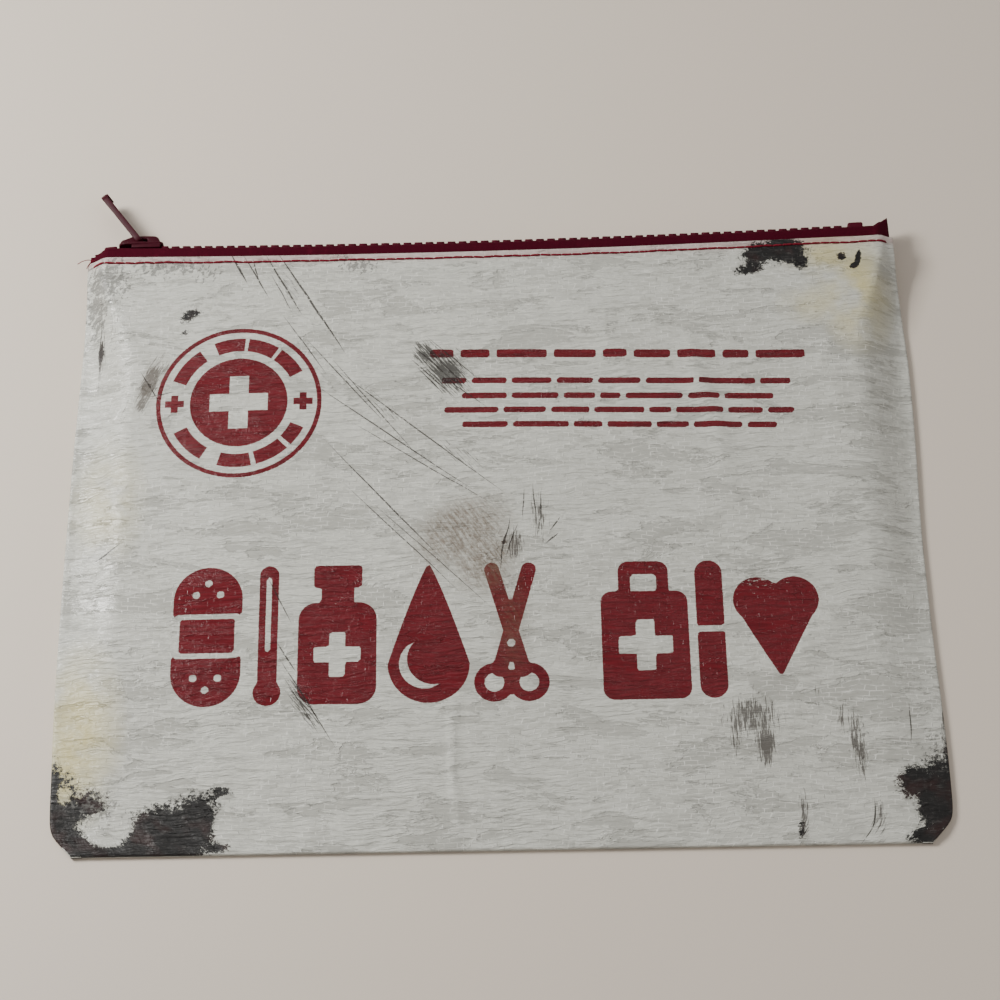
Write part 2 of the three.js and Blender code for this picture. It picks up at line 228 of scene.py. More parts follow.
def creases(x, y):
    """Height that the front's folds, sags and puckers add."""
    wx = x + 4 * fractal(x, y, 34, 11, 2)
    wy = y + 4 * fractal(x, y, 34, 12, 2)
    height = 0.75 * fractal(x, y, 62, 21, 2)
    for a, b, high, wide in FOLDS:
        away, along = segment_distance(wx, wy, a, b)
        height = height + high * np.exp(-((away / wide) ** 2)) * np.sin(np.pi * (0.12 + 0.76 * along))
    ridges = 1 - np.abs(fractal(wx, wy, 26, 31, 2))
    height = height + 0.5 * np.clip(ridges - 0.62, 0, 1) ** 1.5
    return height


def puckers(x, y):
    """Small wrinkles that run in from the side seams and the bottom seam."""
    in_side = HALF_W - np.abs(x)
    in_bottom = y - BOTTOM
    side = fractal(x * 0.25, y, 5.2, 41, 2) * np.exp(-(((in_side - 5) / 6.5) ** 2))
    low = fractal(x, y * 0.3, 6.5, 45, 2) * np.exp(-(((in_bottom - 3) / 4) ** 2))
    return 0.34 * side + 0.22 * low


def hem_shape(y):
    """The hem lies double, and its stitching pulls it down."""
    inside = TOP - y
    step = 0.3 * (1 - ease((inside - TURN_IN + 0.7) / 1.4))
    groove = -0.22 * np.exp(-(((inside - TOPSTITCH_IN) / 0.45) ** 2))
    return step + groove - 0.3


def face_height(x, y):
    """Top of the front panel, with everything."""
    free = ease((HALF_W - np.abs(x)) / 12) * ease((y - BOTTOM) / 12) * ease((TOP - y - 3) / 18)
    stitch = 0.05 * np.sin(2 * np.pi * x / STITCH) * np.exp(-(((TOP - y - TOPSTITCH_IN) / 1.6) ** 2))
    wave = 0.35 * fractal(x, 0 * y, 42, 51, 1) * ease((y - 40) / 50) * ease((HALF_W - np.abs(x)) / 20)
    rim = ease((HALF_W - np.abs(x)) / 3) * ease((y - BOTTOM) / 2)
    return front_z(x, y) + creases(x, y) * free + puckers(x, y) * rim + hem_shape(y) + stitch + wave


# ---- Meshes ----


def link(name, data):
    """Puts a mesh, light, camera or curve into the scene as an object."""
    obj = bpy.data.objects.new(name, data)
    bpy.context.scene.collection.objects.link(obj)
    return obj


def add_object(name, points, faces):
    """A mesh object from points in millimetres."""
    mesh = bpy.data.meshes.new(name)
    mesh.from_pydata([tuple(p) for p in np.asarray(points) * MM], [], [tuple(f) for f in faces])
    mesh.validate()
    mesh.shade_smooth()
    mesh.update()
    return link(name, mesh)


def grid_faces(rows, columns, start=0, flip=False):
    """Quads of a grid of points numbered row by row."""
    r, c = np.meshgrid(np.arange(rows - 1), np.arange(columns - 1), indexing="ij")
    a = start + (r * columns + c).ravel()
    quads = np.stack([a, a + 1, a + 1 + columns, a + columns], 1)
    return quads[:, ::-1] if flip else quads


def grid_normals(points):
    along = np.gradient(points, axis=1)
    across = np.gradient(points, axis=0)
    normal = np.cross(along, across)
    return normal / np.maximum(np.linalg.norm(normal, axis=2, keepdims=True), 1e-9)


def sheet_object(name, points, thickness):
    """A closed sheet: a grid of points, the same grid moved in by the thickness, and a rim."""
    rows, columns = points.shape[:2]
    inner = points - grid_normals(points) * thickness
    count = rows * columns
    index = np.arange(count).reshape(rows, columns)
    rim = np.concatenate([index[0, :], index[1:, -1], index[-1, -2::-1], index[-2:0:-1, 0]])
    after = np.roll(rim, -1)
    sides = np.stack([after, rim, rim + count, after + count], 1)
    faces = np.concatenate([
        grid_faces(rows, columns), grid_faces(rows, columns, count, flip=True), sides,
    ])
    both = np.concatenate([points.reshape(-1, 3), inner.reshape(-1, 3)])
    return add_object(name, both, faces.tolist())


def set_attribute(obj, name, values, vector=False):
    """Stores a number or a vector for each point; a sheet's two sides take the same ones."""
    kind = "FLOAT_VECTOR" if vector else "FLOAT"
    attribute = obj.data.attributes.new(name, kind, "POINT")
    values = np.asarray(values, dtype=np.float32)
    values = np.concatenate([values] * (len(obj.data.vertices) // len(values)))
    attribute.data.foreach_set("vector" if vector else "value", values.ravel())


# ---- Materials ----


class Graph:
    """A material's nodes, made by short calls. Plain numbers go straight onto the sockets."""

    def __init__(self, name, **shader):
        self.material = bpy.data.materials.new(name)
        self.material.use_nodes = True
        self.tree = self.material.node_tree
        self.shader = self.tree.nodes["Principled BSDF"]
        self.finish(**shader)

    def finish(self, **shader):
        """Sets inputs of the shader, and returns the material."""
        for socket, value in shader.items():
            self.put(self.shader.inputs[socket.replace("_", " ")], value)
        return self.material

    def put(self, socket, value):
        if isinstance(value, bpy.types.NodeSocket):
            self.tree.links.new(value, socket)
        elif isinstance(value, tuple) and len(value) == 3 and len(socket.default_value) == 4:
            socket.default_value = (*value, 1)
        else:
            socket.default_value = value

    def node(self, kind, inputs, **settings):
        made = self.tree.nodes.new(kind)
        for key, value in settings.items():
            setattr(made, key, value)
        for key, value in inputs.items():
            self.put(made.inputs[key], value)
        return made

    def math(self, operation, a, b=0.0, c=0.0):
        return self.node("ShaderNodeMath", {0: a, 1: b, 2: c}, operation=operation).outputs[0]

    def times(self, a, b):
        return self.math("MULTIPLY", a, b)

    def scale_add(self, a, b, c):
        """a times b, plus c."""
        return self.math("MULTIPLY_ADD", a, b, c)

    def minus(self, a, b):
        return self.math("SUBTRACT", a, b)

    def size(self, value):
        return self.math("ABSOLUTE", value)

    def xy(self, vector):
        return self.node("ShaderNodeSeparateXYZ", {0: vector}).outputs[:2]

    def attribute(self, name, output="Fac"):
        return self.node("ShaderNodeAttribute", {}, attribute_name=name).outputs[output]

    def scaled(self, vector, x, y, turn=0.0):
        """The vector turned about Z by some degrees, then stretched."""
        if turn:
            turned = {"Vector": vector, "Angle": math.radians(turn)}
            vector = self.node("ShaderNodeVectorRotate", turned, rotation_type="Z_AXIS").outputs[0]
        return self.node("ShaderNodeVectorMath", {0: vector, 1: (x, y, 1)}, operation="MULTIPLY").outputs[0]

    def noise(self, vector, scale=1.0, detail=2.0, roughness=0.5, distortion=0.0):
        inputs = {
            "Vector": vector, "Scale": scale, "Detail": detail,
            "Roughness": roughness, "Distortion": distortion,
        }
        return self.node("ShaderNodeTexNoise", inputs).outputs["Fac"]

    def wave(self, vector, bands="X", **inputs):
        """Lengthwise waves; the keyword inputs are the node's own."""
        inputs = {"Vector": vector, **inputs}
        return self.node("ShaderNodeTexWave", inputs, bands_direction=bands).outputs["Fac"]

    def step(self, value, low, high):
        """0 below low, 1 above high, smooth between; low may be the larger."""
        inputs = {"Value": value, "From Min": low, "From Max": high}
        return self.node("ShaderNodeMapRange", inputs, interpolation_type="SMOOTHSTEP").outputs[0]

    def mix(self, factor, a, b):
        """Colour a where the factor is 0 and b where it is 1."""
        return self.node("ShaderNodeMix", {0: factor, 6: a, 7: b}, data_type="RGBA").outputs[2]

    def tint(self, color, other, mask, amount):
        """The colour, moved towards another where the mask is 1."""
        return self.mix(self.times(mask, amount), color, other)

    def bump(self, height, distance):
        return self.node("ShaderNodeBump", {"Height": height, "Distance": distance * MM}).outputs[0]


def shade(color, share):
    return tuple(min(1, c * share) for c in color)


CLOTH_COLOR = (0.585, 0.59, 0.54)
CLOTH_DARK = (0.385, 0.385, 0.35)
# Painted highlight and painted glint colours of the cloth:
CLOTH_PAINTED_HIGHLIGHT = (0.78, 0.78, 0.73)
PAINTED_GLINT = (0.95, 0.95, 0.92)
INK = (0.135, 0.0075, 0.0135)
YELLOWED = (0.57, 0.50, 0.22)
DYE_BLEED = (0.52, 0.26, 0.27)
SOOT = (0.006, 0.0055, 0.0055)
SOOT_BROWN = (0.03, 0.009, 0.008)
SOOT_WORN = (0.05, 0.047, 0.045)
SOOT_GRIT = (0.12, 0.115, 0.11)


def woven_height(g, flat):
    """The film's relief: ribs, woven strips that lie like low bricks, and a mask of the strips' edges for
    their painted highlights.
    """
    warp = g.noise(flat, scale=0.06, detail=3)
    shift = g.node("ShaderNodeCombineXYZ", {0: g.times(warp, 6.0), 1: g.times(warp, 5.0)}).outputs[0]
    bent = g.node("ShaderNodeVectorMath", {0: flat, 1: shift}, operation="ADD").outputs[0]
    ribs = g.step(g.noise(g.scaled(bent, 0.11, 0.95), detail=3, roughness=0.6), 0.36, 0.64)
    bricks = g.node("ShaderNodeTexBrick", {
        "Vector": bent, "Scale": 1.0, "Mortar Size": 0.16, "Mortar Smooth": 0.6, "Brick Width": 3.6,
        "Row Height": 1.3, "Color1": (0, 0, 0, 1), "Color2": (1, 1, 1, 1), "Mortar": (0.7, 0.7, 0.7, 1),
    })
    broken = g.step(g.noise(g.scaled(flat, 0.25, 0.4), detail=4), 0.4, 0.6)
    patches = g.step(g.noise(g.scaled(flat, 0.022, 0.034), detail=3, roughness=0.6), 0.38, 0.54)
    edges = g.times(g.times(bricks.outputs["Fac"], broken), patches)
    strips = g.times(bricks.outputs["Color"], patches)
    crinkle = g.noise(flat, scale=0.3, detail=5, roughness=0.62, distortion=0.9)
    height = g.scale_add(strips, 0.5, g.times(ribs, g.scale_add(patches, -0.45, 0.75)))
    return g.scale_add(crinkle, 0.8, height), ribs, strips, edges


def cloth_material(name, printed):
    """Laminated weave with dull patches of film, painted highlights on the strips' edges, painted glints, and
    more painted glints along the left turned edge.
    """
    g = Graph(name, IOR=1.45, Specular_IOR_Level=0.5)
    flat = g.attribute("flat", "Vector")
    height, ribs, strips, edges = woven_height(g, flat)
    slick = g.noise(g.scaled(flat, 0.034, 0.13), detail=6, roughness=0.66, distortion=0.5)
    dull = g.step(slick, 0.54, 0.57)
    small = g.step(g.noise(g.scaled(flat, 0.09, 0.5), detail=5, roughness=0.7), 0.56, 0.6)
    glint = g.step(g.noise(g.scaled(flat, 0.16, 0.9), detail=6, roughness=0.75), 0.56, 0.64)
    # Mask for the painted glints along the left turned edge.
    painted_glints = g.step(g.noise(g.scaled(flat, 0.55, 0.9), detail=5, roughness=0.7, distortion=1.2), 0.6, 0.64)
    from_fold = g.size(g.minus(g.xy(flat)[0], TURN_IN - HALF_W))
    color = CLOTH_COLOR
    # Darker patches and strips of film, and painted shade in the hollows between the ribs.
    for mask, amount in ((dull, 0.8), (small, 0.7), (g.step(ribs, 0.4, 0.0), 0.14), (strips, 0.6)):
        color = g.tint(color, CLOTH_DARK, mask, amount)
    # Painted highlights on the strips' edges, and painted glints.
    for mask, amount in ((edges, 0.7), (glint, 0.5)):
        color = g.tint(color, CLOTH_PAINTED_HIGHLIGHT, mask, amount)
    # Painted glints along the left turned edge.
    color = g.tint(color, PAINTED_GLINT, g.step(from_fold, 4.5, 1.5), painted_glints)
    roughness = g.scale_add(dull, -0.08, 0.27)
    height = g.times(height, g.scale_add(dull, -0.55, 1.0))
    if printed:
        color, roughness = printed_color(g, flat, color, roughness)
    return g.finish(Base_Color=color, Roughness=roughness, Normal=g.bump(height, 0.34))


# Long fine scratches on the front: the two ends' x and y, and half a width.
SCRATCHES = [
    (-78.5, 92, -73.5, 82, 0.3), (-74.5, 91, -67, 77, 0.2), (-72, 90, -70, 82, 0.16),
    (-68, 91, -57, 71, 0.26), (-64.5, 92, -44, 58, 0.3), (-66, 84, -60, 72, 0.12),
    (-62, 70, -50, 52, 0.14), (-55, 62, -33, 36, 0.16), (-47, 55, -24, 26, 0.14),
    (-52, 47, -8, 14, 0.17), (-46, 52, 1, 13, 0.17), (-40, 34, -2, 9, 0.13), (-48, 28, -16, -8, 0.19),
    (-42, 14, -12, -17, 0.13), (-34, 8, -4, -21, 0.1), (-23, 59, -13, 49, 0.2), (-21, 60, -8, 46, 0.16),
    (-24, 55, -12, 43, 0.2), (-22, 52, -15, 44, 0.15), (-19, 62, -4, 48, 0.13), (-17, 51, -3, 40, 0.14),
    (-60, -38, -46, -61, 0.17), (-59, -43, -50, -58, 0.13), (-61, -33, -56, -41, 0.2),
    (-64, -14, -58, -26, 0.14), (3.5, 4, 1, -12, 0.22), (5.5, 2, 3, -8, 0.15), (8, 13, 7.2, 4, 0.12),
    (10.5, 14, 11, 4, 0.16), (13, 12, 11.6, -2, 0.12), (-115, -6, -107, -1.5, 0.28), (15, 0, 18, 4, 0.2),
    (14, -4, 17.5, -1, 0.22), (-116.4, 66, -117.4, 57, 0.42), (-116.9, 74, -117.2, 50, 0.14),
    (-104, 53, -98, 43, 0.2), (-101, 45, -94, 46, 0.16), (112, -53, 111.5, -64, 0.15),
    (100, -80, 101, -92, 0.2),
]


def scratch_mask(g, flat):
    """1 on the scratches, which thin towards their ends and break along their length."""
    wobble = g.minus(g.noise(flat, scale=0.07, detail=2), 0.5)
    x, y = g.xy(flat)
    x, y = g.scale_add(wobble, 2.6, x), g.scale_add(wobble, -2.6, y)
    total = 0.0
    for ax, ay, bx, by, half in SCRATCHES:
        length = math.hypot(bx - ax, by - ay)
        ux, uy = (bx - ax) / length, (by - ay) / length
        along = g.scale_add(x, ux, g.scale_add(y, uy, -(ax * ux + ay * uy)))
        across = g.scale_add(x, -uy, g.scale_add(y, ux, ax * uy - ay * ux))
        middle = g.times(g.minus(along, length / 2), 2 / length)
        room = g.scale_add(g.times(middle, middle), -half, half)
        total = g.math("MAXIMUM", total, g.step(g.minus(g.size(across), room), 0.1, -0.04))
    return g.times(total, g.step(g.noise(flat, scale=0.9, detail=4, roughness=0.7), 0.36, 0.47))


def printed_color(g, flat, color, roughness):
    """The maroon print with its wear, and the stains and scuffs on and around it."""
    grain = g.noise(g.scaled(flat, 0.8, 1.6), detail=4, roughness=0.65)
    shape = g.math("MINIMUM", g.attribute("ink"), badge_ink(g, flat))
    ink = g.step(g.scale_add(grain, 0.36, g.minus(shape, 0.18)), 0.07, -0.07)
    chips = g.noise(g.scaled(flat, 0.3, 0.85), scale=1.5, detail=6, roughness=0.75)
    ink = g.times(ink, g.step(g.scale_add(g.attribute("wear"), 0.16, chips), 0.75, 0.71))
    streaks = g.step(g.noise(g.scaled(flat, 0.12, 1.2), detail=4), 0.35, 0.68)
    blotch = g.step(g.noise(flat, scale=0.07, detail=3), 0.3, 0.56)
    color = g.tint(color, YELLOWED, g.times(g.attribute("stain"), blotch), 0.85)
    color = g.tint(color, DYE_BLEED, g.attribute("pink"), 0.4)
    color = g.mix(ink, color, g.mix(streaks, INK, shade(INK, 0.7)))

    def mark(name, gain, texture, low, high):
        """Where a mask and a texture together pass a threshold."""
        return g.step(g.scale_add(g.attribute(name), gain, texture), low, high)

    speckle = g.noise(flat, scale=0.75, detail=10, roughness=0.8)
    cloud = g.noise(flat, scale=0.2, detail=8, roughness=0.68)
    grit = g.step(g.noise(flat, scale=2.6, detail=6, roughness=0.8), 0.34, 0.66)
    texture = g.scale_add(g.step(speckle, 0.32, 0.68), 0.5, g.scale_add(grit, 0.2, g.times(cloud, 0.5)))
    soot = mark("soot", 0.9, texture, 1.08, 1.2)
    across = g.noise(g.scaled(flat, 0.3, 1.2), detail=6, roughness=0.72)
    brown = g.step(g.noise(flat, scale=0.11, detail=2), 0.5, 0.66)
    soot_color = g.tint(SOOT, SOOT_BROWN, brown, 0.6)
    soot_color = g.mix(g.step(across, 0.5, 0.72), soot_color, SOOT_WORN)
    soot_color = g.mix(g.step(speckle, 0.6, 0.68), soot_color, SOOT_GRIT)
    color = g.mix(soot, color, soot_color)

    mottle = g.noise(g.scaled(flat, 1.0, 0.7, turn=30), scale=0.75, detail=7, roughness=0.7, distortion=0.3)
    thin = g.step(g.noise(g.scaled(flat, 1.3, 0.16, turn=-35), detail=5, roughness=0.7), 0.34, 0.6)
    smoke = g.times(g.step(g.attribute("smoke"), 0.0, 1.0), g.step(speckle, 0.22, 0.6))
    down = g.noise(g.scaled(flat, 2.4, 0.2), detail=5, roughness=0.7)
    slanted = g.noise(g.scaled(flat, 0.22, 2.3, turn=50), detail=6, roughness=0.72)
    rising = g.noise(g.scaled(flat, 0.22, 2.3, turn=-62), detail=6, roughness=0.72)
    for other, mask, amount in (
        ((0.12, 0.118, 0.11), mark("haze", 0.3, mottle, 0.72, 0.76), 0.66),
        ((0.13, 0.09, 0.06), g.times(smoke, g.scale_add(thin, 0.6, 0.4)), 0.85),
        ((0.045, 0.036, 0.032), mark("streak", 0.36, down, 0.74, 0.82), 0.8),
        ((0.02, 0.017, 0.016), mark("slant", 0.36, slanted, 0.7, 0.8), 0.85),
        ((0.06, 0.045, 0.035), mark("rise", 0.36, rising, 0.7, 0.8), 0.75),
        ((0.022, 0.017, 0.015), scratch_mask(g, flat), 0.9),
    ):
        color = g.tint(color, other, mask, amount)
    return color, g.scale_add(soot, 0.2, roughness)


def thread_material(name, color):
    """Twisted thread: slanting plies along each stitch."""
    g = Graph(name, Roughness=0.7, Specular_IOR_Level=0.25)
    plies = g.wave(g.scaled(g.attribute("flat", "Vector"), 1, 1, turn=38), Scale=1.6)
    # Darker between the plies: painted shade.
    return g.finish(Base_Color=g.mix(plies, shade(color, 0.55), color), Normal=g.bump(plies, 0.06))


def tape_material():
    """Knitted polyester tape with fine lengthwise ribs."""
    g = Graph("zip_tape_weave", Roughness=0.9, Specular_IOR_Level=0.08)
    flat = g.attribute("flat", "Vector")
    rib = g.wave(g.scaled(flat, 0, 1), bands="Y", Scale=0.8, Distortion=0.6)
    knit = g.wave(g.scaled(flat, 1, 0.4), Scale=0.85, Distortion=1.2)
    height = g.scale_add(knit, 0.6, rib)
    # Darker in the knit's hollows, lighter on its ridges: painted shade.
    color = g.mix(height, (0.03, 0.0008, 0.005), (0.066, 0.0018, 0.0115))
    color = g.mix(g.step(g.noise(flat, scale=0.25, detail=4), 0.55, 0.8), color, (0.08, 0.003, 0.014))
    return g.finish(Base_Color=color, Normal=g.bump(height, 0.09))


def moulded_material(name, color, roughness):
    """Moulded plastic or enamelled casting: slight mottling, and lighter on worn high spots."""
    g = Graph(name, Specular_IOR_Level=0.13)
    place = g.node("ShaderNodeTexCoord", {}).outputs["Object"]
    mottle = g.noise(place, scale=900, detail=3)
    worn = g.step(g.noise(place, scale=260, detail=5, roughness=0.7), 0.62, 0.7)
    tone = g.mix(g.step(mottle, 0.35, 0.7), shade(color, 0.82), color)
    tone = g.tint(tone, tuple(min(1, c * 1.9 + 0.004) for c in color), worn, 0.3)
    roughness = g.scale_add(mottle, 0.2, roughness - 0.1)
    return g.finish(Base_Color=tone, Roughness=roughness, Normal=g.bump(mottle, 0.02))


def give(obj, material, body="pouch", nodes=()):
    """Finishes a piece: its material, the body it rides on and what it stands for."""
    obj.data.materials.clear()
    obj.data.materials.append(material)
    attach(obj, body)
    if nodes:
        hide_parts(*nodes)
    return obj


# ---- The print, as signed distances in millimetres: below 0 is ink ----


def disc(x, y, cx, cy, radius):
    return np.hypot(x - cx, y - cy) - radius


def block(x, y, cx, cy, wide, high, corner=0.0):
    dx = np.abs(x - cx) - wide / 2 + corner
    dy = np.abs(y - cy) - high / 2 + corner
    outside = np.hypot(np.maximum(dx, 0), np.maximum(dy, 0))
    return outside + np.minimum(np.maximum(dx, dy), 0) - corner


def stroke(x, y, a, b, width):
    return segment_distance(x, y, a, b)[0] - width / 2


def join(*shapes):
    return np.minimum.reduce(shapes)


def cut(shape, *holes):
    return np.maximum.reduce([shape, *[-hole for hole in holes]])


def plus(x, y, cy, size, arm):
    return join(block(x, y, 0, cy, size, arm), block(x, y, 0, cy, arm, size))


# The signs are drawn round (0, 0), each as high as SIGN_HIGH.
SIGN_HIGH = 40.9
HALF_SIGN = SIGN_HIGH / 2


def plaster_sign(x, y, wide):
    body = block(x, y, 0, 0, wide, SIGN_HIGH, wide / 2)
    holes = [disc(x, y, dx, dy, 1.1) for dx in (-3.4, 3.4) for dy in (-12.2, 12.2)]
    holes += [disc(x, y, 0, dy, 1.1) for dy in (-15.6, 15.6)]
    pad = block(x, y, 0, 0, wide - 1, 13, 1)
    return join(cut(body, pad, *holes), block(x, y, 0, 0, wide - 4, 10, 0.6))


def thermometer_sign(x, y, wide):
    bulb = disc(x, y, 0, wide / 2 - HALF_SIGN, wide / 2)
    stem = block(x, y, 0, 2, wide * 0.7, SIGN_HIGH - 4, wide * 0.35)
    return cut(join(bulb, stem), block(x, y, 0, 6, 1.5, 22, 0.7))


def bottle_sign(x, y, wide):
    cap = block(x, y, 0, HALF_SIGN - 3.4, wide * 0.62, 6.8, 1)
    neck = block(x, y, 0, HALF_SIGN - 9, wide * 0.42, 6)
    body = block(x, y, 0, -5.6, wide, 29.7, 5)
    return join(cap, neck, cut(body, plus(x, y, -6, 13, 4.4)))


def drop_sign(x, y, wide):
    radius = wide / 2
    low = radius - HALF_SIGN
    taper = np.clip((y - low) / (HALF_SIGN - low), 0, 1)
    point = np.maximum(np.abs(x) - radius * (1 - taper) ** 0.85, y - HALF_SIGN)
    body = np.where(y > low, point, disc(x, y, 0, low, radius))
    return cut(body, cut(disc(x, y, -1, low, 7.2), disc(x, y, 1.4, low + 1.4, 7.4)))


def scissors_sign(x, y, wide):
    ring = 5.6
    shapes = []
    for side in (-1, 1):
        eye = (side * (wide / 2 - ring), ring - HALF_SIGN)
        shapes.append(cut(disc(x, y, *eye, ring), disc(x, y, *eye, 2.7)))
        root, tip = (eye[0] - side * 1.5, eye[1] + 3.6), (-side * 5.2, HALF_SIGN - 2.2)
        shapes.append(stroke(x, y, root, tip, 4.2))
    return cut(join(*shapes), disc(x, y, 0, -3.4, 1.2))


def case_sign(x, y, wide):
    body = block(x, y, 0, -4.5, wide, 31.9, 3.2)
    handle = cut(block(x, y, 0, 14, wide * 0.58, 12.8, 3), block(x, y, 0, 12, wide * 0.3, 9, 1))
    return cut(join(body, handle), plus(x, y, -4.5, 15, 5.2))


def capsule_sign(x, y, wide):
    return cut(block(x, y, 0, 0, wide, SIGN_HIGH, wide / 2), block(x, y, 0, 0, wide + 2, 1.8))


def heart_sign(x, y, wide):
    lobe = wide * 0.285
    top, tip = 15 - lobe, -15
    side = np.abs(x)
    lobes = np.hypot(side - (wide / 2 - lobe), y - top) - lobe
    slope = np.array([top - 2 - tip, -(wide / 2 - 0.6)])
    slope = slope / np.linalg.norm(slope)
    flank = side * slope[0] + (y - tip) * slope[1]
    low = np.maximum.reduce([flank, y - top, side - wide / 2])
    return join(lobes, low, block(x, y, 0, top - 2, wide * 0.5, lobe * 1.4))


# Each sign: its shape, and where it starts and ends across the front.
SIGNS = [
    (plaster_sign, -90.7, -71.3), (thermometer_sign, -67.8, -60.1), (bottle_sign, -55.6, -33.8),
    (drop_sign, -30.7, -8.0), (scissors_sign, -6.9, 13.9), (case_sign, 28.6, 52.9),
    (capsule_sign, 55.2, 62.9), (heart_sign, 65.6, 89.5),
]
SIGNS_Y = -30.2

# The roundel. Its arcs are as long as its words: middle and half length, in degrees.
BADGE = (-74.7, 42.2)
RING, RING_HALF = 23.55, 0.68
BAND, BAND_HALF = 18.8, 2.1
DISC = 14.3
ARCS = [(142, 17), (99, 13), (70, 13), (41, 13), (-137, 16), (-92, 14), (-60, 14), (-33, 9)]
ARC_END_SCALE = 0.33  # millimetres for a degree of the band


def badge_ink(g, flat):
    """Distance to a roundel: a ring, a band of arcs and two crosses, and a disc with a cross cut out."""
    x, y = g.xy(flat)
    x, y = g.minus(x, BADGE[0]), g.minus(y, BADGE[1])
    radius = g.math("SQRT", g.math("ADD", g.times(x, x), g.times(y, y)))
    degrees = g.times(g.math("ARCTAN2", y, x), 180 / math.pi)

    def both(a, b):
        return g.math("MAXIMUM", a, b)

    def either(a, b):
        return g.math("MINIMUM", a, b)

    def near(value, middle, half):
        return g.minus(g.size(g.minus(value, middle)), half)

    def cross(middle, size, arm):
        level, upright = ((size, arm), (arm, size))
        bars = [both(near(x, middle, wide / 2), near(y, 0, high / 2)) for wide, high in (level, upright)]
        return either(*bars)

    total = either(near(radius, RING, RING_HALF), both(g.minus(radius, DISC), g.times(cross(0, 17, 5.6), -1)))
    for side in (-1, 1):
        total = either(total, cross(side * BAND, 5.6, BAND_HALF))
    for middle, half in ARCS:
        arc = both(near(radius, BAND, BAND_HALF), g.times(near(degrees, middle, half), ARC_END_SCALE))
        total = either(total, arc)
    return total


# Rows of bars in place of small print: left end, right end, middle, height of a bar.
ROWS_OF_BARS = [(-18.9, 91.3, 56.3, 2.7), (-15.4, 86.5, 47.4, 1.9), (-9.6, 81.2, 42.5, 1.9),
                (-14.8, 87.0, 37.9, 1.9), (-9.6, 81.7, 33.2, 1.9)]
ROW_SLOPE = -0.016
ROW_MIDDLE = 36


def bars(x, y):
    lengths = np.random.default_rng(3)
    shapes = []
    for left, right, middle, high in ROWS_OF_BARS:
        start = left
        line = middle + ROW_SLOPE * (x - ROW_MIDDLE)
        while start < right - 4:
            end = min(start + lengths.uniform(6, 17), right)
            end = right if right - end < 5 else end
            shapes.append(block(x, y - line, (start + end) / 2, 0, end - start, high, 0.5))
            start = end + high * 0.75
    return join(*shapes)


def print_distance(x, y):
    signs = [sign(x - (low + high) / 2, y - SIGNS_Y, high - low) for sign, low, high in SIGNS]
    return join(bars(x, y), *signs)


# ---- Stains and scuffs, as soft blobs ----

